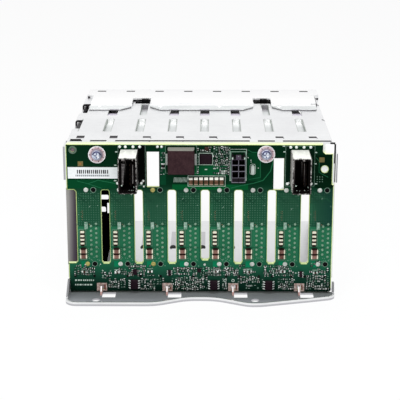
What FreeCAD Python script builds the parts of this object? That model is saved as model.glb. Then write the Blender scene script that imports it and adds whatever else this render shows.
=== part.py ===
"""Eight-bay cage for 2.5 inch drives with its drive backplane board.

X runs across the bays, Y from the board towards the drive openings and Z up, in millimetres.
The origin is on the underside of the cage floor, midway across, below the board's rear face.
"""
import FreeCAD, Part
import math
import os
from FreeCAD import Vector

os.makedirs("parts", exist_ok=True)

# Cage
BAY_COUNT = 8
BAY_PITCH = 17.2
SHEET = 1.0
CAGE_WIDTH = 137.0
CAGE_HEIGHT = 82.2
CAGE_FRONT = 126.0
COVER_REAR = 5.6
FOLD_RADIUS = 1.5
FOLD_STEPS = 4
GUIDE_OFFSET = 2.4
GUIDE_WIDTH = 4.0
GUIDE_DEPTH = 1.6
GUIDE_SKIN = 0.8
COVER_GUIDE_STEPS = 5
FLOOR_GUIDE_STEPS = 3
GUIDE_REAR = 24.6
GUIDE_FRONT = 56.0
WINDOW_REAR = 63.8
WINDOW_LENGTH = 18.0
SECOND_GUIDE = 29.0
FLOOR_GUIDE_FRONT = 66.0
WINDOWLESS_GAPS = (1, 5)
RIVET_ROW = (14.0, 58.0, 102.0)
RIVET_HEIGHT = 5.2
RIVET_HOLE = 1.35
RIVET_SHANK = 1.3

# Rear bulkhead, which carries the board
BULKHEAD_REAR = 2.0
BULKHEAD_LEFT = -69.0
BULKHEAD_RIGHT = 69.8
BULKHEAD_LOW = 69.0
EAR_LENGTH = 14.0

# Front frame
FRAME_REAR = 76.5
FRAME_STEP = 88.6
FRAME_FRONT = 127.0
FRAME_NARROW = 126.2
FRAME_LEFT = -66.9
FRAME_RIGHT = 69.3
FRAME_SHOULDER = 112.0
FRAME_NOTCHES = [(-39.4, -29.0), (30.1, 40.4)]
CLINCH_PLACES = [(-57.7, 83.6), (-22.8, 83.6), (10.7, 83.6), (44.8, 83.6)]

# Floor tray, whose rear lip runs in a wave
LIP_HEIGHT = 2.1
TRAY_FLANGE = 8.0
FLOOR_FRONT = 128.0
LIP_LINE = [
    (-69.2, 2.0, 0.0),
    (-69.2, -17.4, 6.0),
    (-22.5, -17.3, 22.0),
    (-6.5, -9.4, 22.0),
    (8.2, -9.6, 22.0),
    (25.6, -18.4, 12.0),
    (32.0, -18.0, 12.0),
    (57.5, -11.0, 30.0),
    (70.6, -7.0, 5.0),
    (70.6, 2.0, 0.0),
]
HOOK_PLACES = [-51.45, -17.0, 17.6, 52.2]
HOOK_TOP = 5.6
LANCE_LENGTH = 7.0
TRAY_HOLES = [(-53.6, -10.9), (28.9, -10.9)]
TRAY_HOLE_RADIUS = 2.15

# Backplane board
BOARD_LEFT = -68.4
BOARD_RIGHT = 69.0
BOARD_LOW = 2.0
BOARD_TOP = 81.4
BOARD_THICKNESS = 2.0
CONNECTOR_OFFSET = 2.94
AIR_SLOT_WIDTH = 4.2
AIR_SLOT_LOW = 17.6
AIR_SLOT_TOP = 57.2
CUTOUTS = [(-27.0, -20.7, 58.8, 77.5), (38.0, 43.3, 57.4, 74.2)]
SCREW_PLACES = [(-52.4, 76.0), (34.1, 76.4)]
BOARD_HOLE = (64.1, 68.5)
BOARD_HOLE_RADIUS = 1.8
RING_HOLE = (-64.8, 78.4)
RING_HOLE_RADIUS = 1.1

# Drive receptacles, one to a bay, on the drive side of the board
RECEPTACLE_LOW = 15.2
RECEPTACLE_TOP = 59.2
RECEPTACLE_DEPTH = 8.6
PEG_LOW = 17.0
PEG_TOP = 57.2
SOLDERED_PEG = -1.24
PLASTIC_PEG = 2.53
PEG_RADIUS = 1.2
PIN_PITCH = 2.54
PIN_COLUMNS = [(0.9, 22.4, 7), (3.6, 21.1, 8)]

# Small components on the rear side of the board
SMALL_CAP_HEIGHTS = (34.6, 32.5, 30.5, 28.5)
LARGE_CAP_HEIGHTS = (24.2, 21.3)
LOGIC_CHIPS = [(-34.2, 5.9), (7.5, 5.6), (36.3, 5.5)]
SMALL_CHIPS = [(-15.7, 12.3), (53.0, 11.7)]

# Data connectors and power connector, on the rear side of the board
DATA_CENTRES = [(-35.9, 69.4), (51.3, 69.3)]
DATA_WIDTH = 9.4
DATA_HEIGHT = 18.5
DATA_DEPTH = 18.0
DATA_CONTACT_ROWS = 5
SHELL_WALL = 0.5
POWER_BOX = (16.3, 23.3, 63.6, 75.8)
POWER_DEPTH = 9.0


def block(x0, x1, y0, y1, z0, z1):
    """A box between two corners."""
    return Part.makeBox(x1 - x0, y1 - y0, z1 - z0, Vector(x0, y0, z0))


def edges_along(shape, axis):
    """The straight edges of a shape that run along one axis."""
    direction = {"x": Vector(1, 0, 0), "y": Vector(0, 1, 0), "z": Vector(0, 0, 1)}[axis]
    found = []
    for edge in shape.Edges:
        if isinstance(edge.Curve, Part.Line) and abs(abs(edge.Curve.Direction * direction) - 1) < 1e-6:
            found.append(edge)
    return found


def eased(x0, x1, y0, y1, z0, z1, axis, size):
    """A box whose four edges along one axis are cut at an angle."""
    shape = block(x0, x1, y0, y1, z0, z1)
    return shape.makeChamfer(size, edges_along(shape, axis))


def capsule(x, half, rear, front, z0, z1, steps):
    """A long bar along Y whose two ends are half rounds in flats."""
    outline = []
    for centre, turn in ((front - half, 0), (rear + half, math.pi)):
        for index in range(steps + 1):
            angle = turn + math.pi * index / steps
            outline.append((x + half * math.cos(angle), centre + half * math.sin(angle)))
    return prism_z(outline, z0, z1)


def rod_z(x, y, z0, z1, radius):
    """A round bar along Z."""
    return Part.makeCylinder(radius, z1 - z0, Vector(x, y, z0))


def prism_x(outline, x0, x1):
    """A profile of (y, z) points pushed along X."""
    points = [Vector(x0, y, z) for y, z in outline]
    face = Part.Face(Part.makePolygon(points + points[:1]))
    return face.extrude(Vector(x1 - x0, 0, 0))


def prism_z(outline, z0, z1):
    """A profile of (x, y) points pushed along Z."""
    points = [Vector(x, y, z0) for x, y in outline]
    face = Part.Face(Part.makePolygon(points + points[:1]))
    return face.extrude(Vector(0, 0, z1 - z0))


def flat_turned(x, z, outline, sides=8):
    """A small round part in flats: (radius, y) points turned about a line along Y."""
    rings = []
    for radius, y in outline:
        ring = []
        for index in range(sides):
            angle = (index + 0.5) * 2 * math.pi / sides
            ring.append(Vector(x + radius * math.cos(angle), y, z + radius * math.sin(angle)))
        rings.append(ring)
    faces = [Part.Face(Part.makePolygon(ring + ring[:1])) for ring in (rings[0], rings[-1])]
    for ring, following in zip(rings, rings[1:]):
        for index in range(sides):
            other = (index + 1) % sides
            corners = [ring[index], ring[other], following[other], following[index], ring[index]]
            faces.append(Part.Face(Part.makePolygon(corners)))
    return Part.makeSolid(Part.makeShell(faces))


def flat_rod(x, z, y0, y1, radius, sides=8):
    """A small round bar along Y, in flats."""
    return flat_turned(x, z, [(radius, y0), (radius, y1)], sides)


def corner_arc(before, corner, after, radius):
    """The start, middle and end of the arc that rounds one corner."""
    to_before = (before - corner).normalize()
    to_after = (after - corner).normalize()
    half = to_before.getAngle(to_after) / 2
    reach = radius / math.tan(half)
    centre = corner + (to_before + to_after).normalize() * (radius / math.sin(half))
    middle = centre + (corner - centre).normalize() * radius
    return corner + to_before * reach, middle, corner + to_after * reach


def rounded_face(corners, z):
    """A flat face at height z, from (x, y, radius) corners taken in order."""
    places = [Vector(x, y, z) for x, y, radius in corners]
    edges = []
    starts = []
    for index, (x, y, radius) in enumerate(corners):
        before = places[index - 1]
        after = places[(index + 1) % len(places)]
        if radius > 0:
            first, middle, last = corner_arc(before, places[index], after, radius)
            edges.append(Part.Arc(first, middle, last).toShape())
            starts.append((first, last))
        else:
            starts.append((places[index], places[index]))
    for index, (first, last) in enumerate(starts):
        following = starts[(index + 1) % len(starts)][0]
        edges.append(Part.makeLine(last, following))
    return Part.Face(Part.Wire(Part.__sortEdges__(edges)))


def inset(corners, distance):
    """The same open run of corners moved to its left by a distance, ends kept in line."""
    moved = []
    for index, (x, y, radius) in enumerate(corners):
        here = Vector(x, y, 0)
        normals = []
        for step in (-1, 0):
            low = index + step
            if 0 <= low and low + 1 < len(corners):
                run = Vector(corners[low + 1][0] - corners[low][0], corners[low + 1][1] - corners[low][1], 0)
                run.normalize()
                normals.append(Vector(-run.y, run.x, 0))
        if len(normals) == 2:
            total = normals[0] + normals[1]
            shift = total * (2 * distance / total.Length ** 2)
            turning_left = (normals[0].cross(normals[1])).z > 0
            new_radius = radius - distance if turning_left else radius + distance
        else:
            shift = normals[0] * distance
            new_radius = radius
        moved.append((here.x + shift.x, here.y + shift.y, new_radius))
    return moved


def fused(first, *others):
    """One solid from touching solids, with the seams taken out."""
    return first.fuse(list(others)).removeSplitter()


def group(solids):
    """Separate solids kept as one sub-part."""
    return Part.makeCompound(solids)


def save(shape, name):
    """Write one sub-part, and print its size."""
    shape.exportStep("parts/%s.step" % name)
    print(name, len(shape.Solids), "solids", len(shape.Faces), "faces", shape.isValid(), round(shape.Volume, 1))


def column_middle(bay):
    """The middle of a bay's strip of board, counted from 0 at -X."""
    return (bay - (BAY_COUNT - 1) / 2) * BAY_PITCH + CONNECTOR_OFFSET


def guide_place(gap):
    """The middle of the guide between two bays, counted from 0 at -X."""
    return (gap - (BAY_COUNT - 2) / 2) * BAY_PITCH + GUIDE_OFFSET


def air_slot_place(gap):
    """The middle of the air slot between two strips of board."""
    return (gap - (BAY_COUNT - 2) / 2) * BAY_PITCH + CONNECTOR_OFFSET


def guide_hollow(x, rear, front, z0, z1, steps):
    """The hollow of one pressed guide, from its floor through the sheet."""
    return capsule(x, GUIDE_WIDTH / 2, rear, front, z0, z1, steps)


def guide_body(x, rear, front, z0, z1, steps):
    """The outside of one pressed guide, a skin's thickness larger than its hollow."""
    return capsule(x, GUIDE_WIDTH / 2 + GUIDE_SKIN, rear - GUIDE_SKIN, front + GUIDE_SKIN, z0, z1, steps)


def arched(left, right, low, top, rear, front, radius):
    """A slab across X and Z, long along Y, whose two upper corners are bends in flats."""
    outline = [(left, low), (right, low)]
    for centre, start in ((right - radius, 0), (left + radius, math.pi / 2)):
        for index in range(FOLD_STEPS + 1):
            angle = start + math.pi / 2 * index / FOLD_STEPS
            outline.append((centre + radius * math.cos(angle), top - radius + radius * math.sin(angle)))
    points = [Vector(x, rear, z) for x, z in outline]
    face = Part.Face(Part.makePolygon(points + points[:1]))
    return face.extrude(Vector(0, front - rear, 0))


def cage_cover():
    """Top, side walls and rear bulkhead, folded from one sheet."""
    half = CAGE_WIDTH / 2
    under = CAGE_HEIGHT - SHEET
    outer = arched(-half, half, 0, CAGE_HEIGHT, BULKHEAD_REAR, CAGE_FRONT, FOLD_RADIUS)
    inner = arched(-half + SHEET, half - SHEET, -1, under, 0, CAGE_FRONT + 1, FOLD_RADIUS - SHEET)
    shell = outer.cut(inner)
    # The top stops short of the bulkhead, apart from the folds that join them.
    folds = [(-60.2, -56.1), (-47.7, -43.3), (25.7, 29.9), (38.6, 42.7)]
    gap_starts = [-66.6] + [end for start, end in folds]
    gap_ends = [start for start, end in folds] + [67.6]
    gaps = []
    for start, end in zip(gap_starts, gap_ends):
        rear = BULKHEAD_REAR + SHEET
        gaps.append(block(start, end, rear, COVER_REAR, under - 1, CAGE_HEIGHT + 1))
    gaps.append(block(-66.6, -61.0, BULKHEAD_REAR + SHEET, 8.0, under - 1, CAGE_HEIGHT + 1))
    # The bulkhead is an arch: a strip across the top and a leg down each side.
    rear = BULKHEAD_REAR
    arch = arched(BULKHEAD_LEFT, BULKHEAD_RIGHT, 9.0, CAGE_HEIGHT, rear, rear + SHEET, 2.4)
    arch = arch.cut(arched(-63.4, 68.0, 0, BULKHEAD_LOW, rear - 1, rear + SHEET + 1, 3.0))
    for x, z in SCREW_PLACES:
        arch = arch.cut(flat_rod(x, z, rear - 1, rear + SHEET + 1, 2.25))
    for x0, x1, z0, z1 in CUTOUTS:
        arch = arch.cut(block(x0 - 0.6, x1 + 0.6, rear - 1, rear + SHEET + 1, z0 - 2, z1 + 0.6))
    left_ear = block(BULKHEAD_LEFT - SHEET, BULKHEAD_LEFT, rear, rear + EAR_LENGTH, 62.0, 79.6)
    right_ear = block(BULKHEAD_RIGHT, BULKHEAD_RIGHT + SHEET, rear, rear + EAR_LENGTH, 60.8, 76.0)
    shell = fused(shell, arch, left_ear, right_ear)
    # Recesses of the guides between the bays, with a lanced window or a second guide in front.
    cuts = []
    for gap in range(BAY_COUNT - 1):
        x = guide_place(gap)
        for rear, front in cover_guide_runs(gap):
            cuts.append(guide_hollow(x, rear, front, under - 1, CAGE_HEIGHT + 1, COVER_GUIDE_STEPS))
        if gap in WINDOWLESS_GAPS:
            cuts.append(block(x - 6, x + 4.4, 95.6, 101.0, under - 1, CAGE_HEIGHT + 1))
        else:
            window_front = WINDOW_REAR + WINDOW_LENGTH
            cuts.append(block(x - 2.7, x + 2.7, WINDOW_REAR, window_front, under - 1, CAGE_HEIGHT + 1))
    # Slots that tell the bays apart, in a row near the board.
    for bay in range(BAY_COUNT):
        x = (bay - (BAY_COUNT - 1) / 2) * BAY_PITCH - 1.63
        depth = 2.4 if bay < 2 else 1.3
        cuts.append(block(x - 2.05, x + 2.05, 12.6 - depth / 2, 12.6 + depth / 2, under - 1, CAGE_HEIGHT + 1))
    # Openings through the left fold and small reliefs in the right one.
    cuts.append(block(-half - 1, -64.1, 31.6, 52.0, 79.0, CAGE_HEIGHT + 1))
    cuts.append(block(-half - 1, -63.6, 70.0, 94.0, 79.0, CAGE_HEIGHT + 1))
    cuts.append(block(66.6, half + 1, 52.6, 54.6, 80.0, CAGE_HEIGHT + 1))
    cuts.append(block(66.6, half + 1, 91.6, 93.8, 80.0, CAGE_HEIGHT + 1))
    return shell.cut(gaps + cuts).cut(rivet_holes(half))


def cover_guide_runs(gap):
    """Where the pressed guides of one gap start and end along the cover."""
    runs = [(GUIDE_REAR, GUIDE_FRONT)]
    if gap in WINDOWLESS_GAPS:
        runs.append((WINDOW_REAR, WINDOW_REAR + SECOND_GUIDE))
    return runs


def cover_guides():
    """The sheet pressed down round the cover's guides, and the tongues lanced from its windows."""
    under = CAGE_HEIGHT - SHEET
    floor = under - GUIDE_DEPTH
    solids = []
    for gap in range(BAY_COUNT - 1):
        x = guide_place(gap)
        for rear, front in cover_guide_runs(gap):
            body = guide_body(x, rear, front, floor - GUIDE_SKIN, under, COVER_GUIDE_STEPS)
            solids.append(body.cut(guide_hollow(x, rear, front, floor, under + 1, COVER_GUIDE_STEPS)))
        if gap not in WINDOWLESS_GAPS:
            start = WINDOW_REAR
            slope = [(start, CAGE_HEIGHT), (start + 10, CAGE_HEIGHT - 4)]
            slope += [(start + 9.7, CAGE_HEIGHT - 5), (start, under)]
            solids.append(prism_x(slope, x - 2.4, x + 2.4))
    return group(solids)


def at_rivets(shape, offset):
    """Copies of a shape along Y, turned to point inwards at each rivet of both side walls."""
    copies = []
    for side in (-1, 1):
        for y in RIVET_ROW:
            copy = shape.copy()
            copy.rotate(Vector(0, 0, 0), Vector(0, 0, 1), 90 * side)
            copy.translate(Vector(side * offset, y, RIVET_HEIGHT))
            copies.append(copy)
    return copies


def rivet_holes(offset):
    """Holes for the rivets through a wall at this distance from the middle."""
    return at_rivets(flat_rod(0, 0, -1, 2, RIVET_HOLE), offset)


def side_rivets():
    """Rivets through the side walls and the floor's flanges."""
    outline = [(1.4, -0.8), (2.3, 0), (RIVET_SHANK, 0), (RIVET_SHANK, 2 * SHEET)]
    outline += [(2.0, 2 * SHEET), (1.7, 2 * SHEET + 0.7)]
    return group(at_rivets(flat_turned(0, 0, outline), CAGE_WIDTH / 2))


def cage_floor():
    """Floor, its side flanges, and the rear tray with its wavy lip and board hooks."""
    half = CAGE_WIDTH / 2
    rear_plate = rounded_face(LIP_LINE, 0).extrude(Vector(0, 0, LIP_HEIGHT))
    inner_line = inset(LIP_LINE, SHEET)
    hollow = rounded_face(inner_line, SHEET).extrude(Vector(0, 0, LIP_HEIGHT + 2))
    tray_left = LIP_LINE[0][0]
    tray_right = LIP_LINE[-1][0]
    tray = rear_plate.cut(hollow)
    tray = tray.cut(block(tray_left + SHEET, tray_right - SHEET, 1.0, 4, SHEET, 9))
    sides = []
    for x0, start, top in ((tray_left, -10.0, TRAY_FLANGE), (tray_right - SHEET, -2.0, TRAY_FLANGE - 1.2)):
        slope = [(start, SHEET), (2.0, SHEET), (2.0, top), (-0.6, top), (start, LIP_HEIGHT)]
        sides.append(prism_x(slope, x0, x0 + SHEET))
    inside = half - SHEET
    deck = block(-inside, inside, 1.5, FLOOR_FRONT, 0, SHEET)
    for side in (-1, 1):
        x0, x1 = sorted((side * inside, side * (inside - SHEET)))
        sides.append(block(x0, x1, 4.0, CAGE_FRONT - 2, SHEET, TRAY_FLANGE + 1.5))
    floor = fused(tray, deck, *sides)
    cuts = []
    for gap in range(BAY_COUNT - 1):
        x = guide_place(gap)
        cuts.append(guide_hollow(x, GUIDE_REAR, FLOOR_GUIDE_FRONT, -1, SHEET + 1, FLOOR_GUIDE_STEPS))
        cuts.append(eased(x - 2.3, x - 0.3, 72.0, 76.2, -1, SHEET + 1, "z", 0.6))
    for x, y in TRAY_HOLES:
        cuts.append(rod_z(x, y, -1, SHEET + 1, TRAY_HOLE_RADIUS))
    hooks = []
    for x in HOOK_PLACES:
        cuts.append(block(x + 0.5, x + 0.5 + LANCE_LENGTH, -7.0, 0.2, -1, SHEET + 1))
        shape = [(-4.6, 0.2), (-0.5, 0.2), (-0.5, 3.1), (3.6, 3.1), (3.6, 5.0), (2.6, 5.0), (2.6, 4.8)]
        shape += [(-0.3, 4.8), (-0.9, HOOK_TOP), (-2.6, HOOK_TOP), (-4.6, 1.6)]
        hooks.append(prism_x(shape, x - 0.5, x + 0.5))
    floor = fused(floor.cut(cuts), *hooks)
    return floor.cut(rivet_holes(inside))


def floor_guides():
    """The sheet pressed up round the floor's guides."""
    top = SHEET + GUIDE_DEPTH
    rear = GUIDE_REAR
    front = FLOOR_GUIDE_FRONT
    solids = []
    for gap in range(BAY_COUNT - 1):
        x = guide_place(gap)
        body = guide_body(x, rear, front, SHEET, top + GUIDE_SKIN, FLOOR_GUIDE_STEPS)
        solids.append(body.cut(guide_hollow(x, rear, front, 0, top, FLOOR_GUIDE_STEPS)))
    return group(solids)


def front_frame():
    """Stiffening frame round the drive openings, stepped over the cover's top."""
    low = CAGE_HEIGHT
    left = FRAME_LEFT
    right = FRAME_RIGHT
    narrow = FRAME_NARROW / 2
    rear = FRAME_SHOULDER
    shelf = block(-narrow, narrow, FRAME_REAR, FRAME_STEP + SHEET, low, low + SHEET)
    raised = prism_z([(-narrow, FRAME_STEP), (-narrow, rear - 4), (left, rear), (left, FRAME_FRONT),
                      (right, FRAME_FRONT), (right, rear), (narrow, rear - 4), (narrow, FRAME_STEP)],
                     low + SHEET, low + 2 * SHEET)
    left_step = [(left, rear), (-narrow, rear - 4), (-narrow, rear - 3), (left, rear + 1)]
    right_step = [(narrow, rear - 4), (right, rear), (right, rear + 1), (narrow, rear - 3)]
    steps = [prism_z(left_step, low, low + SHEET), prism_z(right_step, low, low + SHEET)]
    lip = block(left, right, FRAME_FRONT - SHEET, FRAME_FRONT, low - 2.2, low + SHEET)
    leg = block(right - SHEET * 0.8, right, rear, FRAME_FRONT, 0.5, low + SHEET)
    left_lip = block(left, left + 2.6, FRAME_FRONT - SHEET, FRAME_FRONT, SHEET, low)
    right_lip = block(right - 2.6, right, FRAME_FRONT - SHEET, FRAME_FRONT, SHEET, low)
    frame = fused(shelf, raised, *steps, lip, leg, left_lip, right_lip)
    cuts = []
    for x0, x1 in FRAME_NOTCHES:
        notch = [(x0 - 8, FRAME_REAR - 6, 0), (x1 + 8, FRAME_REAR - 6, 0), (x1 + 5.6, FRAME_REAR + 0.6, 3.0),
                 (x1, FRAME_REAR + 7.5, 4.0), (x1, 101.5, 0), (x0, 101.5, 0), (x0, FRAME_REAR + 7.5, 4.0),
                 (x0 - 5.6, FRAME_REAR + 0.6, 3.0)]
        cuts.append(rounded_face(notch, low - 1).extrude(Vector(0, 0, 4 * SHEET)))
    for bay in range(BAY_COUNT):
        x = (bay - (BAY_COUNT - 1) / 2) * BAY_PITCH + 0.92
        cuts.append(block(x - 2.5, x + 2.5, 120.8, 122.2, low, low + 3 * SHEET))
    return frame.cut(cuts)


def frame_clinches():
    """Flat rivet heads that hold the front frame's shelf to the cover."""
    low = CAGE_HEIGHT + SHEET
    heads = []
    for x, y in CLINCH_PLACES:
        head = flat_turned(0, 0, [(1.7, 0), (1.2, -0.35)], 12)
        head.rotate(Vector(0, 0, 0), Vector(1, 0, 0), -90)
        head.translate(Vector(x, y, low))
        heads.append(head)
    return group(heads)


def bay_filler():
    """Open plastic blank that fills the first bay."""
    x0 = -65.4
    x1 = -52.4
    rear = 22.0
    front = CAGE_FRONT - 1.0
    floor = SHEET
    top = CAGE_HEIGHT - SHEET - 1.4
    plate = block(x0, x1, 60.0, front, floor, floor + 1.6)
    left = prism_x([(60.0, floor), (front, floor), (front, top), (front - 8, top), (front - 14, 14.0),
                    (60.0, 8.0)], x0, x0 + 1.4)
    right = prism_x([(rear, floor), (front, floor), (front, top), (front - 8, top), (front - 14, 14.0),
                     (80.0, 14.0), (66.0, 24.0), (rear, 36.5)], x1 - 1.4, x1)
    face = block(x0, x1, front - 2.0, front, floor, top)
    bridge = block(x0, x1, 78.0, 80.0, floor, 6.0)
    filler = fused(plate, left, right, face, bridge)
    vents = []
    for row in range(9):
        z = 7.8 + row * 8.0
        if row % 2 == 0:
            vents.append(eased(x0 + 3.4, x0 + 6.8, front - 4, front + 1, z, z + 3.8, "y", 0.6))
            vents.append(block(x0 + 7.5, x0 + 8.8, front - 4, front + 1, z - 0.8, z + 6.2))
        else:
            vents.append(eased(x0 + 3.4, x0 + 8.6, front - 4, front + 1, z, z + 3.4, "y", 0.6))
    return filler.cut(vents)


def backplane_board():
    """The printed circuit board with its air slots, cut-outs and peg holes."""
    board = eased(BOARD_LEFT, BOARD_RIGHT, 0, BOARD_THICKNESS, BOARD_LOW, BOARD_TOP, "y", 0.6)
    cuts = []
    for gap in range(BAY_COUNT - 1):
        x = air_slot_place(gap)
        low = 19.5 if gap == 3 else AIR_SLOT_LOW
        half = AIR_SLOT_WIDTH / 2
        cuts.append(eased(x - half, x + half, -1, 3, low, AIR_SLOT_TOP, "y", 0.8))
    cuts.append(eased(BOARD_LEFT - 3, -63.7, -1, 3, AIR_SLOT_LOW, AIR_SLOT_TOP + 0.1, "y", 0.8))
    for x0, x1, z0, z1 in CUTOUTS:
        cuts.append(block(x0, x1, -1, 3, z0, z1))
    cuts.append(eased(63.0, BOARD_RIGHT + 4, -1, 3, 76.4, BOARD_TOP + 4, "y", 1.2))
    cuts.append(block(BOARD_RIGHT - 0.8, BOARD_RIGHT + 1, -1, 3, 60.0, BOARD_TOP))
    # The lower left corner clears the tray's side flange.
    cuts.append(block(BOARD_LEFT - 1, -67.9, -1, 3, 0, TRAY_FLANGE + 0.5))
    for x in HOOK_PLACES:
        cuts.append(block(x - 0.9, x + 1.3, -1, 3, 2.8, 5.4))
    for x, z in SCREW_PLACES:
        cuts.append(flat_rod(x, z, -1, 3, 2.25))
    cuts.append(flat_rod(BOARD_HOLE[0], BOARD_HOLE[1], -1, 3, BOARD_HOLE_RADIUS, 16))
    cuts.append(flat_rod(RING_HOLE[0], RING_HOLE[1], -1, 3, RING_HOLE_RADIUS, 12))
    for bay in range(BAY_COUNT):
        for z in (PEG_LOW, PEG_TOP):
            cuts.append(flat_rod(column_middle(bay) + PLASTIC_PEG, z, -1, 3, PEG_RADIUS + 0.35))
    return board.cut(cuts)


def drive_receptacle(bay):
    """Housing of one drive receptacle, with its keyed mouth, end guides and board pegs."""
    x0 = column_middle(bay) - 0.9
    x1 = column_middle(bay) + 4.2
    near = BOARD_THICKNESS
    far = near + RECEPTACLE_DEPTH
    body = block(x0, x1, near, far, RECEPTACLE_LOW, RECEPTACLE_TOP)
    upper_end = [(near, RECEPTACLE_TOP - 1.0), (far + 1, RECEPTACLE_TOP - 3.8), (far + 1, RECEPTACLE_TOP + 1)]
    body = body.cut(prism_x(upper_end + [(near, RECEPTACLE_TOP + 1)], x0 - 1, x1 + 1))
    guides = []
    for z0, z1 in ((RECEPTACLE_LOW, RECEPTACLE_LOW + 3.2), (RECEPTACLE_TOP - 7.4, RECEPTACLE_TOP - 4.2)):
        tip = [(far, z0), (far, z1), (far + 3.4, z1 - 0.8), (far + 3.4, z0 + 0.8)]
        guides.append(prism_x(tip, x0 + 0.7, x1 - 0.7))
    pegs = []
    for z in (PEG_LOW, PEG_TOP):
        pegs.append(flat_rod(column_middle(bay) + PLASTIC_PEG, z, 0.4, near + 0.2, PEG_RADIUS))
    body = fused(body, *guides, *pegs)
    mouth = block(x0 + 1.3, x0 + 3.8, near + 3.0, far + 1, RECEPTACLE_LOW + 4.4, RECEPTACLE_TOP - 8.0)
    key = block(x0 + 1.3, x1 - 0.5, near + 3.0, far + 1, RECEPTACLE_LOW + 21.0, RECEPTACLE_LOW + 23.0)
    return body.cut([mouth, key])


def receptacle_contacts():
    """Gilt contact blades standing in the mouths of the receptacles."""
    blades = []
    near = BOARD_THICKNESS + 3.0
    for bay in range(BAY_COUNT):
        x = column_middle(bay) - 0.9 + 1.3
        for index in range(7):
            z = RECEPTACLE_LOW + 6.4 + index * 4.8
            if index != 3:
                blades.append(block(x, x + 0.5, near, near + 5.0, z - 0.6, z + 0.6))
    return group(blades)


def pin_tails():
    """Soldered tails of the receptacles' power contacts, fifteen to a bay."""
    tails = []
    for bay in range(BAY_COUNT):
        for offset, start, count in PIN_COLUMNS:
            for index in range(count):
                x = column_middle(bay) + offset
                z = start + index * PIN_PITCH
                tails.append(flat_turned(x, z, [(0.85, 0), (0.4, -0.8)], 4))
    return group(tails)


def solder_pegs():
    """Soldered hold-down pegs of the receptacles, two to a bay."""
    pegs = []
    for bay in range(BAY_COUNT):
        for z in (PEG_LOW, PEG_TOP):
            pegs.append(flat_turned(column_middle(bay) + SOLDERED_PEG, z, [(1.25, 0), (0.8, -0.5)]))
    return group(pegs)


def chip_capacitor(x, z, width, height, depth, end, across=True):
    """Body and two end caps of a chip capacitor on the board's rear face."""
    if across:
        body = block(x - width / 2 + end, x + width / 2 - end, -depth, 0, z - height / 2, z + height / 2)
        left = block(x - width / 2, x - width / 2 + end, -depth, 0, z - height / 2, z + height / 2)
        right = block(x + width / 2 - end, x + width / 2, -depth, 0, z - height / 2, z + height / 2)
    else:
        body = block(x - width / 2, x + width / 2, -depth, 0, z - height / 2 + end, z + height / 2 - end)
        left = block(x - width / 2, x + width / 2, -depth, 0, z - height / 2, z - height / 2 + end)
        right = block(x - width / 2, x + width / 2, -depth, 0, z + height / 2 - end, z + height / 2)
    return body, [left, right]


def column_capacitors():
    """Four small and two large capacitors beside each receptacle's pins."""
    bodies = []
    ends = []
    for bay in range(BAY_COUNT):
        middle = column_middle(bay)
        for z in SMALL_CAP_HEIGHTS:
            bodies.append(block(middle - 4.7, middle - 2.5, -1.0, 0, z - 0.62, z + 0.62))
        for z in LARGE_CAP_HEIGHTS:
            body, caps = chip_capacitor(middle - 3.2, z, 3.6, 1.9, 1.4, 0.6)
            bodies.append(body)
            ends += caps
    return group(bodies), group(ends)


def filter_capacitors():
    """The row of seven upright capacitors under the controller."""
    bodies = []
    ends = []
    for index in range(7):
        x = -4.45 + index * 2.63
        body, caps = chip_capacitor(x, 62.2, 1.9, 3.6, 1.9, 0.6, False)
        bodies.append(body)
        ends += caps
    return group(bodies), group(ends)


def data_shell(x, z):
    """Metal shell of one data connector: a square tube with a latch notch and a flared rear."""
    half = DATA_WIDTH / 2
    tall = DATA_HEIGHT / 2
    outer = eased(x - half, x + half, -DATA_DEPTH, 0, z - tall, z + tall, "y", 0.4)
    inner = block(x - half + SHELL_WALL, x + half - SHELL_WALL, -DATA_DEPTH - 1, 1,
                  z - tall + SHELL_WALL, z + tall - SHELL_WALL)
    notch = block(x - 1.65, x - 0.15, -DATA_DEPTH - 1, -DATA_DEPTH + 0.7, z + tall - 1, z + tall + 1)
    return outer.cut([inner, notch])


def data_housing(x, z):
    """Plastic insert of one data connector, with its mating tongue."""
    half = DATA_WIDTH / 2 - SHELL_WALL
    tall = DATA_HEIGHT / 2 - SHELL_WALL
    mouth_half = half - 1.0
    mouth_tall = tall - 1.1
    outer = block(x - half, x + half, -DATA_DEPTH + 0.8, 0, z - tall, z + tall)
    mouth = block(x - mouth_half, x + mouth_half, -DATA_DEPTH - 1, -5.0, z - mouth_tall, z + mouth_tall)
    tongue = block(x + 1.2, x + 2.3, -DATA_DEPTH + 3.0, -4.5, z - mouth_tall + 1.4, z + mouth_tall - 1.4)
    return fused(outer.cut(mouth), tongue)


def data_contacts():
    """Gilt contacts along both faces of the data connectors' tongues."""
    strips = []
    for x, z in DATA_CENTRES:
        for index in range(DATA_CONTACT_ROWS):
            height = z + (index - (DATA_CONTACT_ROWS - 1) / 2) * 2.4
            for x0 in (x + 1.05, x + 2.3):
                strips.append(block(x0, x0 + 0.15, -DATA_DEPTH + 3.6, -5.0, height - 0.3, height + 0.3))
    return group(strips)


def data_grounds():
    """Solder joints of the data connectors' shells, above and below each one."""
    joints = []
    for x, z in DATA_CENTRES:
        for dx, dz in ((-4.8, 10.7), (-1.9, 10.7), (2.0, 10.7), (5.4, 10.7), (6.0, -8.6), (-6.2, -8.6)):
            joints.append(flat_turned(x + dx, z + dz, [(0.8, 0), (0.5, -0.5)]))
    return group(joints)


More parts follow.
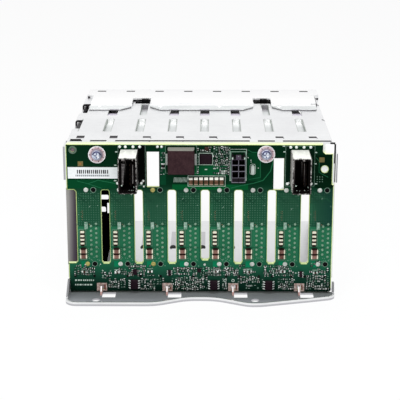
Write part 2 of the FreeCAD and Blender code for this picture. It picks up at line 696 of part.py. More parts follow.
def power_housing():
    """Housing of the power connector: two by three cells and a latch ramp."""
    x0, x1, z0, z1 = POWER_BOX
    housing = block(x0, x1, -POWER_DEPTH, 0, z0, z1)
    cells = []
    for column in range(2):
        for row in range(3):
            cx = x0 + 0.5 + column * 3.1
            cz = z0 + 1.2 + row * 3.4
            cells.append(block(cx, cx + 2.9, -POWER_DEPTH - 1, -1.6, cz, cz + 3.0))
    housing = housing.cut(cells)
    middle = (x0 + x1) / 2
    latch = [(-POWER_DEPTH, z1), (-2.0, z1), (-4.4, z1 + 1.5), (-6.0, z1 + 1.5)]
    ramp = prism_x(latch, middle - 1.3, middle + 1.3)
    left_cheek = block(x0, x0 + 0.9, -POWER_DEPTH, -1.0, z1, z1 + 1.1)
    right_cheek = block(x1 - 0.9, x1, -POWER_DEPTH, -1.0, z1, z1 + 1.1)
    return fused(housing, ramp, left_cheek, right_cheek)


def power_pins():
    """Six round pins standing in the power connector's cells."""
    x0, x1, z0, z1 = POWER_BOX
    pins = []
    for column in range(2):
        for row in range(3):
            cx = x0 + 0.5 + column * 3.1 + 1.45
            cz = z0 + 1.2 + row * 3.4 + 1.5
            pins.append(block(cx - 0.5, cx + 0.5, -POWER_DEPTH + 2.2, -1.6, cz - 0.5, cz + 0.5))
    return group(pins)


def power_inductor():
    """Moulded body of the power inductor, standing off the board on its terminals."""
    body = block(-16.1, -2.6, -6.2, -0.5, 66.9, 80.0)
    return body.makeChamfer(0.5, [edge for edge in body.Edges if edge.BoundBox.YMax < -6])


def inductor_terminals():
    """Copper terminals wrapped under the inductor's two sides."""
    terminals = []
    for x0, x1 in ((-17.0, -14.6), (-4.1, -1.7)):
        terminals.append(block(x0, x1, -0.5, 0, 71.2, 75.8))
    return group(terminals)


def controller_chip():
    """Square controller chip near the top edge."""
    body = block(0.2, 6.3, -1.0, 0, 71.2, 76.2)
    return body.makeChamfer(0.2, [edge for edge in body.Edges if edge.BoundBox.YMax < -0.9])


def logic_chips():
    """Bodies of the eight-lead chips along the lower edge."""
    bodies = []
    for x, z in LOGIC_CHIPS:
        body = block(x - 1.95, x + 1.95, -1.75, -0.15, z - 2.5, z + 2.5)
        bodies.append(body.makeChamfer(0.3, [edge for edge in body.Edges if edge.BoundBox.YMax < -1.7]))
    for x, z in SMALL_CHIPS:
        body = block(x - 0.8, x + 0.8, -1.25, -0.15, z - 1.5, z + 1.5)
        bodies.append(body.makeChamfer(0.2, [edge for edge in body.Edges if edge.BoundBox.YMax < -1.2]))
    return group(bodies)


def chip_leads():
    """Gull-wing leads of the eight-lead and small chips."""
    leads = []
    for x, z in LOGIC_CHIPS:
        for side in (-1, 1):
            for index in range(4):
                height = z - 1.9 + index * 1.27
                leads.append(gull_wing(x + side * 1.95, height, side, 1.1, 0.4, 0.9))
    for x, z in SMALL_CHIPS:
        for side in (-1, 1):
            for index in range(3):
                height = z - 0.95 + index * 0.95
                leads.append(gull_wing(x + side * 0.8, height, side, 0.6, 0.35, 0.65))
    return group(leads)


def gull_wing(x, z, side, reach, width, height):
    """One lead from a chip's side down to the board."""
    thick = 0.2
    outline = [(0, -height - thick), (reach * 0.45, -height - thick), (reach, -thick),
               (reach, 0), (reach * 0.5, 0), (0, -height)]
    points = [Vector(x + side * dx, y, z - width / 2) for dx, y in outline]
    face = Part.Face(Part.makePolygon(points + points[:1]))
    return face.extrude(Vector(0, 0, width))


def grounding_pads():
    """Tinned pads round the hooks' slots in the board."""
    pads = []
    for x in HOOK_PLACES:
        plate = block(x - 2.5, x + 2.8, -0.12, 0, 2.1, 6.4)
        pads.append(plate.cut(block(x - 0.9, x + 1.3, -1, 1, 2.8, 5.4)))
    for x, z in ((-61.0, 71.1), (62.5, 73.4)):
        pads.append(block(x - 1.35, x + 1.35, -0.12, 0, z - 1.3, z + 1.3))
    return group(pads)


def screw_washers():
    """Plain washers under the board screws."""
    washers = []
    for x, z in SCREW_PLACES:
        washers.append(flat_rod(x, z, -0.6, 0, 4.5, 20).cut(flat_rod(x, z, -1, 1, 2.1)))
    return group(washers)


def board_screws():
    """Pan-head screws that hold the board to the bulkhead."""
    screws = []
    for x, z in SCREW_PLACES:
        outline = [(1.6, -2.7), (2.5, -2.1), (2.9, -0.6), (1.9, -0.6), (1.9, 5.4)]
        screw = flat_turned(x, z, outline, 16)
        drive = fused(block(x - 1.5, x + 1.5, -3, -1.6, z - 0.35, z + 0.35),
                      block(x - 0.35, x + 0.35, -3, -1.6, z - 1.5, z + 1.5))
        screws.append(screw.cut(drive))
    return group(screws)


def bar_label():
    """Paper label near the board's upper left corner."""
    return block(-67.6, -42.0, -0.1, 0, 63.3, 69.3)


def crystal():
    """Long oval oscillator beside the power connector."""
    return eased(26.4, 28.1, -1.6, 0, 66.0, 70.6, "y", 0.55)


def status_lamp_blocks():
    """Pale moulded blocks above the capacitors of each bay."""
    blocks = []
    for bay in range(BAY_COUNT):
        middle = column_middle(bay)
        blocks.append(block(middle - 2.4, middle - 0.7, -0.8, 0, 36.3, 39.9))
    return group(blocks)


def save_all():
    """Write every sub-part."""
    save(cage_cover(), "cage_cover")
    save(cover_guides(), "cover_guides")
    save(cage_floor(), "cage_floor")
    save(floor_guides(), "floor_guides")
    save(front_frame(), "front_frame")
    save(side_rivets(), "side_rivets")
    save(frame_clinches(), "frame_clinches")
    save(bay_filler(), "bay_filler")
    save(backplane_board(), "backplane_board")
    for bay in range(BAY_COUNT):
        save(drive_receptacle(bay), "drive_receptacle_%d" % (bay + 1))
    save(receptacle_contacts(), "receptacle_contacts")
    save(pin_tails(), "pin_tails")
    save(solder_pegs(), "solder_pegs")
    bodies, ends = column_capacitors()
    save(bodies, "column_capacitors")
    save(ends, "column_capacitor_ends")
    bodies, ends = filter_capacitors()
    save(bodies, "filter_capacitors")
    save(ends, "filter_capacitor_ends")
    for side, (x, z) in zip(("left", "right"), DATA_CENTRES):
        save(data_shell(x, z), "data_shell_" + side)
        save(data_housing(x, z), "data_housing_" + side)
    save(data_contacts(), "data_contacts")
    save(data_grounds(), "data_ground_joints")
    save(power_housing(), "power_housing")
    save(power_pins(), "power_pins")
    save(power_inductor(), "power_inductor")
    save(inductor_terminals(), "inductor_terminals")
    save(controller_chip(), "controller_chip")
    save(logic_chips(), "logic_chips")
    save(chip_leads(), "chip_leads")
    save(grounding_pads(), "grounding_pads")
    save(screw_washers(), "screw_washers")
    save(board_screws(), "board_screws")
    save(bar_label(), "bar_label")
    save(crystal(), "crystal")
    save(status_lamp_blocks(), "status_lamp_blocks")


save_all()
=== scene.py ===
"""Looks of the eight-bay drive cage and its backplane board.

Lengths are in millimetres until a mesh is finished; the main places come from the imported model's boxes.
X runs across the bays, Y from the board towards the drive openings and Z up.
"""
import math
import random

import bmesh
import bpy
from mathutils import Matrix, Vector


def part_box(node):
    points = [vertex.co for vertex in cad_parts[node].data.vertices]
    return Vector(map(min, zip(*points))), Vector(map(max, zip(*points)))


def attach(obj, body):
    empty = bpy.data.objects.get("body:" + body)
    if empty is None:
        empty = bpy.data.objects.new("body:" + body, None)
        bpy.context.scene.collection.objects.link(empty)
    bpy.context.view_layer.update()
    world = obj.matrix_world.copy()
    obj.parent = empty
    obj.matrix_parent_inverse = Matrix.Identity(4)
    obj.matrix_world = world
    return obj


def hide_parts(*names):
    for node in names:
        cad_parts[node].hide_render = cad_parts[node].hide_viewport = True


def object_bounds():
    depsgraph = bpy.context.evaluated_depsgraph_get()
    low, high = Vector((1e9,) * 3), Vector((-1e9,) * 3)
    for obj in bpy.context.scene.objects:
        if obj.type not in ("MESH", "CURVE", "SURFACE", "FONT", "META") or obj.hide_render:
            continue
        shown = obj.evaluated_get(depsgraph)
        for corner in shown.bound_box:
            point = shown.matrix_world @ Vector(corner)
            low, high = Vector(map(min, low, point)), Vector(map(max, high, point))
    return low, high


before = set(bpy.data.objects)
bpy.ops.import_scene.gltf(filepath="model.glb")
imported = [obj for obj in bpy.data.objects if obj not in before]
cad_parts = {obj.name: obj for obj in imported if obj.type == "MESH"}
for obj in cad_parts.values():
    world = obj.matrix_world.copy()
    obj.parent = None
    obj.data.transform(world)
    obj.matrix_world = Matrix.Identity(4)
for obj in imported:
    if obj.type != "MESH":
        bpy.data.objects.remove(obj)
CAD_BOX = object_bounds()

MM = 0.001


# ---------------------------------------------------------------- places

def span(node):
    """Lowest and highest corner of a node, in millimetres."""
    low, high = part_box(node)
    return low / MM, high / MM


BOARD_LOW, BOARD_HIGH = span("backplane_board")
FACE = BOARD_LOW.y
TOP = span("cage_cover")[1].z
# The outside of the side walls, the sheet's thickness, and how far the bulkhead reaches along Y.
WALL = 68.5
SHEET = 1.0
BULKHEAD_REACH = 3.6
BAYS = 8
RECEPTACLE_OFFSET = 0.9
GUIDE_OFFSET = -0.54
MIDDLES = [span("drive_receptacle_%d" % (bay + 1))[0].x + RECEPTACLE_OFFSET for bay in range(BAYS)]
PITCH = MIDDLES[1] - MIDDLES[0]
GUIDES = [middle + PITCH / 2 + GUIDE_OFFSET for middle in MIDDLES[:-1]]
# The receptacles' pegs and pin columns: heights, and places across from each bay's middle.
# A column is its place, its lowest pin's height and its count of pins.
PEG_LOW = 17.0
PEG_HIGH = 57.2
SOLDERED_PEG = -1.24
PLASTIC_PEG = 2.53
PIN_COLUMNS = [(0.9, 22.4, 7), (3.6, 21.1, 8)]
PIN_PITCH = 2.54
# The board's air slots, and the heights of the capacitors between them.
SLOT_LOW = 17.6
SLOT_HIGH = 57.2
SLOT_HALF = 2.1
SMALL_CAPS = [34.6, 32.5, 30.5, 28.5]
LARGE_CAPS = [24.2, 21.3]
HOOKS = [-51.45, -17.0, 17.6, 52.2]
HOOK_PITCH = HOOKS[1] - HOOKS[0]
SCREWS = [(-52.4, 76.0), (34.1, 76.4)]
SHELLS = [span("data_shell_left"), span("data_shell_right")]
LEFT_SHELL, RIGHT_SHELL = [(low.x + high.x) / 2 for low, high in SHELLS]
SHELL_MIDDLE = (SHELLS[0][0].z + SHELLS[0][1].z) / 2
SHELL_MOUTH = SHELLS[0][0].y
POWER_LOW, POWER_HIGH = span("power_housing")
CELL_ROWS = [66.3, 69.6, 72.8]
LIP_TOP = 2.15
RING_HOLE = (-64.8, 78.4)
ROUND_HOLE = (64.1, 68.5)
# Slots in the cover near the board and in the front frame, across from each bay's middle.
BAY_SLOT = -1.63
BAY_SLOT_Y = 12.6
FRAME_SLOT = 0.92
# The two gaps whose guides end at a notch of the front frame instead of a window.
NOTCHED_GAPS = (1, 5)
# Heights of what lies on the board's mask, and the legend's usual line width.
RIM = 0.015
TRACE = 0.02
INK = 0.03
INK_WIDTH = 0.16
# The camera's place in metres, its tilt from straight down and its turn in degrees, and its lens.
CAMERA_PLACE = (0.00527, -0.6432, 0.23957)
CAMERA_TILT = 90 - 16.264
CAMERA_TURN = 0.446
CAMERA_LENS = 116.95


# ---------------------------------------------------------------- shader helpers

def shade(red, green, blue):
    """A colour given as 0 to 255 on a screen, as the shader's linear colour."""
    linear = []
    for part in (red, green, blue):
        value = part / 255
        linear.append(value / 12.92 if value <= 0.04045 else ((value + 0.055) / 1.055) ** 2.4)
    return (*linear, 1.0)


class Value:
    """A shader socket with arithmetic, so that an expression adds its own Math nodes."""

    def __init__(self, finish, socket):
        self.finish = finish
        self.socket = socket

    def maths(self, operation, first, second=0.0):
        return self.finish.node("ShaderNodeMath", {"operation": operation}, {0: first, 1: second})[0]

    def __add__(self, other):
        return self.maths("ADD", self, other)

    def __radd__(self, other):
        return self.maths("ADD", other, self)

    def __sub__(self, other):
        return self.maths("SUBTRACT", self, other)

    def __rsub__(self, other):
        return self.maths("SUBTRACT", other, self)

    def __mul__(self, other):
        return self.maths("MULTIPLY", self, other)

    def __rmul__(self, other):
        return self.maths("MULTIPLY", other, self)

    def __truediv__(self, other):
        return self.maths("DIVIDE", self, other)

    def __mod__(self, other):
        return self.maths("FLOORED_MODULO", self, other)

    def __gt__(self, other):
        return self.maths("GREATER_THAN", self, other)

    def __lt__(self, other):
        return self.maths("LESS_THAN", self, other)

    def size(self):
        return self.maths("ABSOLUTE", self)

    def root(self):
        return self.maths("SQRT", self)

    def highest(self, other):
        return self.maths("MAXIMUM", self, other)

    def within(self, low, high):
        """1 between two limits and 0 outside them."""
        return (self > low) * (self < high)

    def nearest(self, first, pitch):
        """Signed distance to the nearest of places repeated at a pitch."""
        return (self - first + pitch / 2) % pitch - pitch / 2


class Made:
    """A node that was added, whose outputs are read as values."""

    def __init__(self, finish, node):
        self.finish = finish
        self.node = node

    def __getitem__(self, output):
        return Value(self.finish, self.node.outputs[output])


class Finish:
    """One material under construction."""

    def __init__(self, name):
        self.material = bpy.data.materials.new(name)
        self.material.use_nodes = True
        self.tree = self.material.node_tree
        self.tree.nodes.clear()

    def node(self, kind, settings=None, values=None):
        """Add a node: its settings first, then the values or links of its sockets."""
        node = self.tree.nodes.new(kind)
        for name, setting in (settings or {}).items():
            if name == "stops":
                ramp = node.color_ramp
                while len(ramp.elements) < len(setting):
                    ramp.elements.new(0.5)
                for element, (position, colour) in zip(ramp.elements, setting):
                    element.position = position
                    element.color = colour
            else:
                setattr(node, name, setting)
        for name, value in (values or {}).items():
            if isinstance(value, Value):
                self.tree.links.new(value.socket, node.inputs[name])
            else:
                node.inputs[name].default_value = value
        return Made(self, node)

    def place(self):
        """The point on the object, in metres of its own frame."""
        return self.node("ShaderNodeTexCoord")["Object"]

    def axes(self):
        """The point's three coordinates, in millimetres."""
        scaled = self.node("ShaderNodeVectorMath", {"operation": "SCALE"}, {0: self.place(), "Scale": 1 / MM})
        parts = self.node("ShaderNodeSeparateXYZ", None, {0: scaled[0]})
        return parts["X"], parts["Y"], parts["Z"]

    def facing(self):
        """The three parts of the surface's direction, in the object's frame."""
        normal = self.node("ShaderNodeTexCoord")["Normal"]
        parts = self.node("ShaderNodeSeparateXYZ", None, {0: normal})
        return parts["X"], parts["Y"], parts["Z"]

    def noise(self, scale, detail=2.0, rough=0.5, stretch=None):
        """Smooth noise from 0 to 1, with its scale in features per metre."""
        where = self.place()
        if stretch:
            where = self.node("ShaderNodeMapping", None, {0: where, "Scale": stretch})[0]
        values = {"Vector": where, "Scale": scale, "Detail": detail, "Roughness": rough}
        return self.node("ShaderNodeTexNoise", None, values)["Fac"]

    def mix(self, factor, first, second):
        """Blend two colours."""
        node = self.node("ShaderNodeMix", {"data_type": "RGBA"})
        for index, value in ((0, factor), (6, first), (7, second)):
            if isinstance(value, Value):
                self.tree.links.new(value.socket, node.node.inputs[index])
            else:
                node.node.inputs[index].default_value = value
        return Value(self, node.node.outputs[2])

    def ramp(self, factor, stops):
        """A colour picked along a ramp of (position, colour) stops."""
        return self.node("ShaderNodeValToRGB", {"stops": stops}, {0: factor})[0]

    def bump(self, height, strength, distance):
        """A normal raised by a height value; distance in millimetres."""
        values = {"Height": height, "Strength": strength, "Distance": distance * MM}
        return self.node("ShaderNodeBump", None, values)["Normal"]

    def done(self, values):
        """Close the material with one principled surface."""
        surface = self.node("ShaderNodeBsdfPrincipled", None, values)
        output = self.node("ShaderNodeOutputMaterial")
        self.tree.links.new(surface.node.outputs[0], output.node.inputs[0])
        return self.material


# ---------------------------------------------------------------- finishes

# How far a zone of the sheet looks painted instead of bare, and what it adds to the roughness.
BARE = (0.0, 0.0)
SHADED = (0.85, 0.0)
SHADED_ROOF = (0.8, 0.0)
PAINTED = (1.0, 0.0)
DULL = (1.0, 0.2)


def frame_zones(f, at, facing, patches):
    """The front frame: brighter than the cover, greyer on its lower shelf."""
    _, y, z = at
    up = facing[2] > 0.5
    on_frame = (z > TOP + 0.1) * up
    shelf = on_frame * (z < TOP + SHEET + 0.1) * (y < 85.6)
    shelf_tone = f.ramp(patches, [(0.35, shade(214, 218, 218)), (0.65, shade(232, 235, 235))])
    raised = (z > TOP + SHEET + 0.5) * up
    raised_tone = f.ramp((y - 88.0) / 40.0, [
        (0.0, shade(255, 255, 255)), (0.35, shade(246, 246, 246)), (1.0, shade(238, 238, 239))])
    return [(on_frame, shade(250, 250, 250), BARE), (shelf, shelf_tone, BARE), (raised, raised_tone, BARE)]


def bay_zones(f, at, facing):
    """The bays' sides and roof, where the light falls off."""
    x, y, z = at
    nx, _, nz = facing
    sides = (nx.size() > 0.7) * (x.size() < WALL - SHEET + 0.1) * (y > 3.5) * z.within(3.6, TOP - 3.2)
    depth = f.ramp((y + (SLOT_HIGH - z) * 0.4) / 70.0, [
        (0.0, shade(168, 165, 164)), (0.16, shade(138, 134, 134)), (0.34, shade(92, 86, 92)),
        (0.7, shade(58, 52, 62)), (1.0, shade(62, 58, 64))])
    under = (nz < -0.6) * (z > TOP - 5.5) * (y > 3.5) * (x.size() < WALL)
    return [(sides, depth, SHADED), (under, shade(84, 82, 86), SHADED_ROOF)]


def guide_zones(f, at, facing):
    """The pressed guides: painted light and shade on floors and flanks, beside them and past the floor's
    holes.
    """
    x, y, z = at
    nx, _, nz = facing
    beside = x.nearest(GUIDES[0], PITCH)
    inner = x.size() < 60.0
    hollow = z.within(TOP - 2.8, TOP - 0.1) * y.within(23.0, 94.0) * inner * (nz > -0.5)
    # A painted highlight at the far end of each guide's run, and painted shade deeper in under the frame.
    hollow_light_and_shade = f.ramp(y / 100.0, [
        (0.24, shade(206, 208, 208)), (0.45, shade(210, 212, 212)), (0.51, shade(234, 235, 235)),
        (0.56, shade(255, 255, 255)), (0.83, shade(214, 216, 216)), (0.88, shade(186, 186, 188)),
        (0.92, shade(150, 148, 152))])
    # Painted shade on the guides' flanks.
    flank = (nx.size() > 0.9) * hollow
    along = y.within(25.0, 55.0) + y.within(84.0, 94.0) * x.size().within(30.0, 45.0)
    # Painted shade in a line on the cover's top beside each guide, for its hidden flank.
    flank_shade_line = beside.size().within(1.7, 2.35) * along * (nz > 0.5) * z.within(TOP - 0.1, TOP + 0.05)
    # Painted shade on the floor guides' flanks.
    floor_flank = (nx.size() > 0.5) * z.within(SHEET, 3.7) * y.within(22.0, 68.0) * inner
    # Painted shade on the floor past its holes.
    beyond = (beside + 1.2).size() < 1.5
    beyond = beyond * y.within(78.0, 106.0) * (z < SHEET + 0.1) * (nz > 0.5) * inner
    return [
        (hollow, hollow_light_and_shade, SHADED),
        (flank, shade(160, 166, 160), BARE),
        (flank_shade_line * 0.75, shade(166, 172, 166), BARE),
        (floor_flank, shade(112, 108, 114), BARE),
        (beyond * 0.6, shade(170, 168, 172), BARE),
    ]


def bulkhead_zones(f, at, facing):
    """The bulkhead: its left leg in painted shade, painted light where it shows through the board's openings,
    and the two ears.
    """
    x, y, z = at
    rear = (facing[1] < -0.5) * (y < BULKHEAD_REACH)
    # Painted shade on the left leg behind the board's left cut-out.
    leg = rear * z.within(16.0, 57.8) * (x < -62.5)
    leg_tone = f.ramp((x + WALL) / 5.4 - (z - 40.0) / 160.0, [
        (0.0, shade(150, 148, 146)), (0.3, shade(112, 108, 110)), (0.62, shade(70, 62, 72)),
        (1.0, shade(46, 36, 50))])
    # Painted light where the bulkhead shows through the board's round hole and upper right corner.
    hole_x, hole_z = ROUND_HOLE
    hole_light = ((x - hole_x).size() < 2.3) * ((z - hole_z).size() < 2.5)
    corner_light = x.within(64.4, 69.0) * z.within(75.6, 81.3)
    white = shade(255, 255, 255)
    ears = (facing[1] < -0.5) * (y < 2.6) * (z > 58.0)
    return [
        (leg, leg_tone, DULL),
        (hole_light * (y < BULKHEAD_REACH), white, DULL),
        (corner_light * rear, white, DULL),
        (ears * (x > 70.3), shade(120, 120, 126), BARE),
        (ears * (x < -69.0), shade(172, 172, 178), BARE),
    ]


def slot_zones(at, facing):
    """Painted shade on the cut faces of the openings, beside the narrow slots and in the line under the
    frame.
    """
    x, y, z = at
    _, ny, nz = facing
    rearward = ny < -0.6
    shelf_line = (ny < -0.3) * z.within(TOP + 0.02, TOP + 0.55) * y.within(75.0, 100.0)
    cuts = rearward * z.within(TOP - SHEET - 0.1, TOP + 0.05) * (y.within(4.5, 16.0) + y.within(94.0, 125.0))
    frame_cuts = rearward * (z > TOP + SHEET + 0.05) * y.within(121.9, 122.5)
    fold_cuts = rearward * z.within(79.0, TOP + 0.05) * y.within(45.0, 97.0) * (x.size() > 63.0)
    across = x.nearest(BAY_SLOT + PITCH / 2, PITCH)
    ahead = x.nearest(FRAME_SLOT + PITCH / 2, PITCH)
    far_slots = (ahead.size() < 2.5) * (z > TOP + SHEET + 0.5) * (nz > 0.5) * y.within(119.9, 123.1)
    band = y.within(10.9, 14.4) + (x < -36.0) * y.within(9.7, 15.5)
    near_slots = (across.size() < 2.05) * (band > 0.5) * (nz > 0.5) * z.within(TOP - 0.1, TOP + 0.05)
    return [
        (shelf_line, shade(96, 96, 98), PAINTED),
        (cuts.highest(frame_cuts).highest(fold_cuts), shade(24, 21, 24), DULL),
        (far_slots * 0.85, shade(70, 66, 72), BARE),
        (near_slots, shade(30, 26, 30), BARE),
    ]


def tray_zones(f, at, facing, patches):
    """The tray, greyed towards the board by a painted reflection and shade of the board, with painted shade
    on its lip's lower face and side flanges.
    """
    x, y, z = at
    nz = facing[2]
    tray = (z < SHEET + 0.2) * (y < BULKHEAD_REACH) * (nz > 0.5)
    tray_reflection_and_shade = f.ramp((0 - y) / 17.0 + (patches - 0.5) * 0.12 - x / 700.0, [
        (0.0, shade(104, 108, 108)), (0.1, shade(106, 110, 111)), (0.5, shade(116, 119, 122)),
        (1.0, shade(146, 148, 152))])
    lip_low = (y < 1.0) * (z < SHEET) * (nz.size() < 0.5)
    flanges = (y < 1.9) * (z > LIP_TOP) * (x.size() > 66.0)
    return [
        (tray, tray_reflection_and_shade, DULL),
        (lip_low, shade(186, 186, 190), BARE),
        (flanges, shade(128, 128, 130), DULL),
    ]


def hook_zones(at):
    """The tray's hooks, coppery where they pass the board's pads."""
    x, y, z = at
    beside = x.nearest(HOOKS[0], HOOK_PITCH).size()
    edge = beside.within(0.28, 0.7) * y.within(-5.0, 4.0) * z.within(3.0, 6.0)
    foot = (beside < 0.7) * y.within(-5.0, 0.3) * z.within(SHEET + 0.1, 3.0)
    return [(edge, shade(186, 158, 152), BARE), (foot, shade(176, 140, 134), DULL)]


def sheet_steel():
    """Galvanised sheet: pale outside, painted shade on its cut edges and inside the bays, a painted
    reflection greying the tray.
    """
    f = Finish("galvanised_sheet")
    at = f.axes()
    facing = f.facing()
    patches = f.noise(28.0, 3.0, 0.55)
    spangle = f.noise(420.0, 2.0, 0.6)
    grain = f.noise(90.0, 3.0, 0.6, (1.0, 22.0, 1.0))
    tone = patches * 0.5 + spangle * 0.2 + grain * 0.3
    colour = f.ramp(tone, [
        (0.3, shade(222, 222, 224)), (0.5, shade(231, 232, 233)), (0.7, shade(240, 240, 241))])
    # Each zone is where it lies, its tone and its look.
    zones = frame_zones(f, at, facing, patches) + bay_zones(f, at, facing) + guide_zones(f, at, facing)
    zones += bulkhead_zones(f, at, facing) + slot_zones(at, facing)
    zones += tray_zones(f, at, facing, patches) + hook_zones(at)
    painted = 0.0
    dulled = 0.0
    for where, zone_tone, (paint, added_roughness) in zones:
        colour = f.mix(where, colour, zone_tone)
        if paint:
            painted = (where * paint).highest(painted)
        if added_roughness:
            dulled = (where * added_roughness).highest(dulled)
    rough = 0.30 + patches * 0.10 + spangle * 0.06 + dulled
    return f.done({"Base Color": colour, "Metallic": 1.0 - painted, "Roughness": rough,
                   "Specular IOR Level": 0.15,
                   "Normal": f.bump(grain * 0.7 + spangle * 0.3, 0.12, 0.02)})


def bright_metal(name, low, high, rough, patch_scale=600.0):
    """Plated or turned metal between two colours."""
    f = Finish(name)
    patches = f.noise(patch_scale, 2.0, 0.5)
    colour = f.ramp(patches, [(0.35, low), (0.65, high)])
    return f.done({"Base Color": colour, "Metallic": 1.0, "Roughness": rough + patches * 0.10,
                   "Normal": f.bump(patches, 0.10, 0.02)})


def moulding(name, low, high, rough, grain=900.0, gloss=0.05):
    """Moulded plastic, ceramic or epoxy between two colours, with a fine grain."""
    f = Finish(name)
    fine = f.noise(grain, 3.0, 0.6)
    broad = f.noise(60.0, 2.0, 0.5)
    colour = f.ramp(fine * 0.6 + broad * 0.4, [(0.35, low), (0.65, high)])
    return f.done({"Base Color": colour, "Roughness": rough + fine * 0.08, "Specular IOR Level": gloss,
                   "Normal": f.bump(fine, 0.15, 0.03)})


def shell_plating():
    """Plated shell of a data connector: white on top, painted shade at its rim, painted reflection and shade
    on its sides, painted shade inside.
    """
    f = Finish("shell_plating_finish")
    x, _, z = f.axes()
    nx, ny, nz = f.facing()
    centre = LEFT_SHELL + (x > 0.0) * (RIGHT_SHELL - LEFT_SHELL)
    inward = ((x - centre) * nx + (z - SHELL_MIDDLE) * nz) < -0.5
    mottle = f.noise(900.0, 3.0, 0.7)
    colour = f.ramp(mottle, [(0.35, shade(232, 232, 226)), (0.65, shade(250, 250, 244))])
    # The sides are painted: a painted shade on the left shell's, a painted reflection on the right shell's.
    side = nx.size() > 0.7
    pale = f.ramp(mottle, [(0.42, shade(96, 94, 92)), (0.58, shade(206, 204, 198))])
    dark = f.ramp(mottle, [(0.5, shade(12, 10, 10)), (0.72, shade(70, 66, 64))])
    colour = f.mix(side, colour, f.mix(x > 0.0, dark, pale))
    # The rim is painted dim, a painted shade that darkens lower down, with random dark and pale specks.
    rim = ny < -0.7
    colour = f.mix(rim, colour, f.ramp((z - SHELL_MIDDLE) / 24.0 + 0.5, [
        (0.1, shade(66, 62, 60)), (0.5, shade(98, 94, 92)), (0.86, shade(150, 148, 144))]))
    colour = f.mix(rim * (mottle > 0.54), colour, shade(26, 22, 22))
    colour = f.mix(rim * (mottle < 0.42), colour, shade(196, 194, 190))
    # Painted shade on the faces inside the shell.
    colour = f.mix(inward, colour, shade(8, 6, 6))
    return f.done({"Base Color": colour, "Metallic": 0.3 - side.highest(rim).highest(inward) * 0.3,
                   "Roughness": 0.26 + mottle * 0.1, "Specular IOR Level": 0.1,
                   "Normal": f.bump(mottle, 0.08, 0.02)})


def socket_plastic():
    """Black insert of the data connectors, with upright streaks of painted highlight near its mouth."""
    f = Finish("socket_plastic_finish")
    x, _, z = f.axes()
    rearward = f.facing()[1] < -0.5
    fine = f.noise(900.0, 3.0, 0.6)
    colour = f.ramp(fine, [(0.35, shade(6, 4, 4)), (0.65, shade(11, 8, 8))])
    # The streaks are a painted highlight, brighter higher up and broken into rungs.
    fade = f.ramp((z - SHELL_MIDDLE) / 18.0 + 0.5, [
        (0.1, shade(10, 7, 7)), (0.3, shade(58, 52, 52)), (0.55, shade(120, 114, 112)),
        (0.9, shade(170, 164, 160))])
    wobble = (f.noise(160.0, 1.0, 0.4) - 0.5) * 0.5
    rungs = 0.55 + (((z + wobble) % 0.9) < 0.5) * 0.4
    for place, half in ((LEFT_SHELL - 2.5, 0.34), (LEFT_SHELL - 1.6, 0.2), (LEFT_SHELL + 2.7, 0.2),
                        (RIGHT_SHELL + 0.9, 0.42), (RIGHT_SHELL - 3.9, 0.14)):
        streak = (x - place + wobble * 0.5).size() < half
        colour = f.mix(streak * rearward * rungs, colour, fade)
    return f.done({"Base Color": colour, "Roughness": 0.4 + fine * 0.1, "Specular IOR Level": 0.03,
                   "Normal": f.bump(fine, 0.12, 0.02)})


def power_plastic():
    """Black power connector with grey lines on its cell walls, a grey latch and painted shade inside its
    cells.
    """
    f = Finish("power_plastic_finish")
    x, y, z = f.axes()
    ny = f.facing()[1]
    fine = f.noise(700.0, 3.0, 0.6)
    colour = f.ramp(fine, [(0.35, shade(9, 7, 9)), (0.65, shade(18, 15, 19))])
    face = (y < POWER_LOW.y + 0.1) * (ny < -0.5)
    wall = f.ramp(fine, [(0.35, shade(20, 17, 20)), (0.65, shade(32, 28, 34))])
    colour = f.mix(face, colour, wall)
    beside = (x - (POWER_LOW.x + POWER_HIGH.x) / 2).size()
    lines = (beside < 0.15) * (z > CELL_ROWS[0])
    for row in CELL_ROWS:
        lines = lines.highest((z - row).size() < 0.22)
    lines = lines.highest((z - POWER_LOW.z - 0.2).size() < 0.2).highest(beside > 3.25)
    colour = f.mix(lines * face, colour, shade(110, 108, 118))
    latch = (z > POWER_HIGH.z - 1.7) * (ny < -0.2)
    colour = f.mix(latch, colour, shade(62, 52, 66))
    # Painted shade inside the cells.
    cell = (y > POWER_LOW.y + 0.1) * x.within(POWER_LOW.x + 0.3, POWER_HIGH.x - 0.3) * z.within(65.0, 75.7)
    colour = f.mix(cell, colour, shade(9, 6, 8))
    return f.done({"Base Color": colour, "Roughness": 0.42 + fine * 0.1, "Specular IOR Level": 0.05,
                   "Normal": f.bump(fine, 0.15, 0.03)})


def inductor_powder():
    """Pressed powder body with a painted highlight on its upper edge and a blotched, unmarked face."""
    f = Finish("inductor_powder_finish")
    upward = f.facing()[2] > 0.3
    fine = f.noise(1400.0, 3.0, 0.6)
    blotch = f.noise(300.0, 2.0, 0.5)
    colour = f.ramp(fine * 0.5 + blotch * 0.5, [(0.4, shade(46, 29, 33)), (0.6, shade(60, 41, 44))])
    # The upward faces are painted paler, a painted highlight.
    colour = f.mix(upward, colour, shade(120, 120, 112))
    return f.done({"Base Color": colour, "Roughness": 0.5 + fine * 0.08, "Specular IOR Level": 0.05,
                   "Normal": f.bump(fine, 0.25, 0.04)})


def from_screw(x, z):
    """Distance from the nearer of the two board screws, and its parts across and up."""
    (left_x, left_z), (right_x, right_z) = SCREWS
    other = x > (left_x + right_x) / 2
    across = x - (left_x + other * (right_x - left_x))
    up = z - (left_z + other * (right_z - left_z))
    away = (across * across + up * up).root()
    return away, across, up


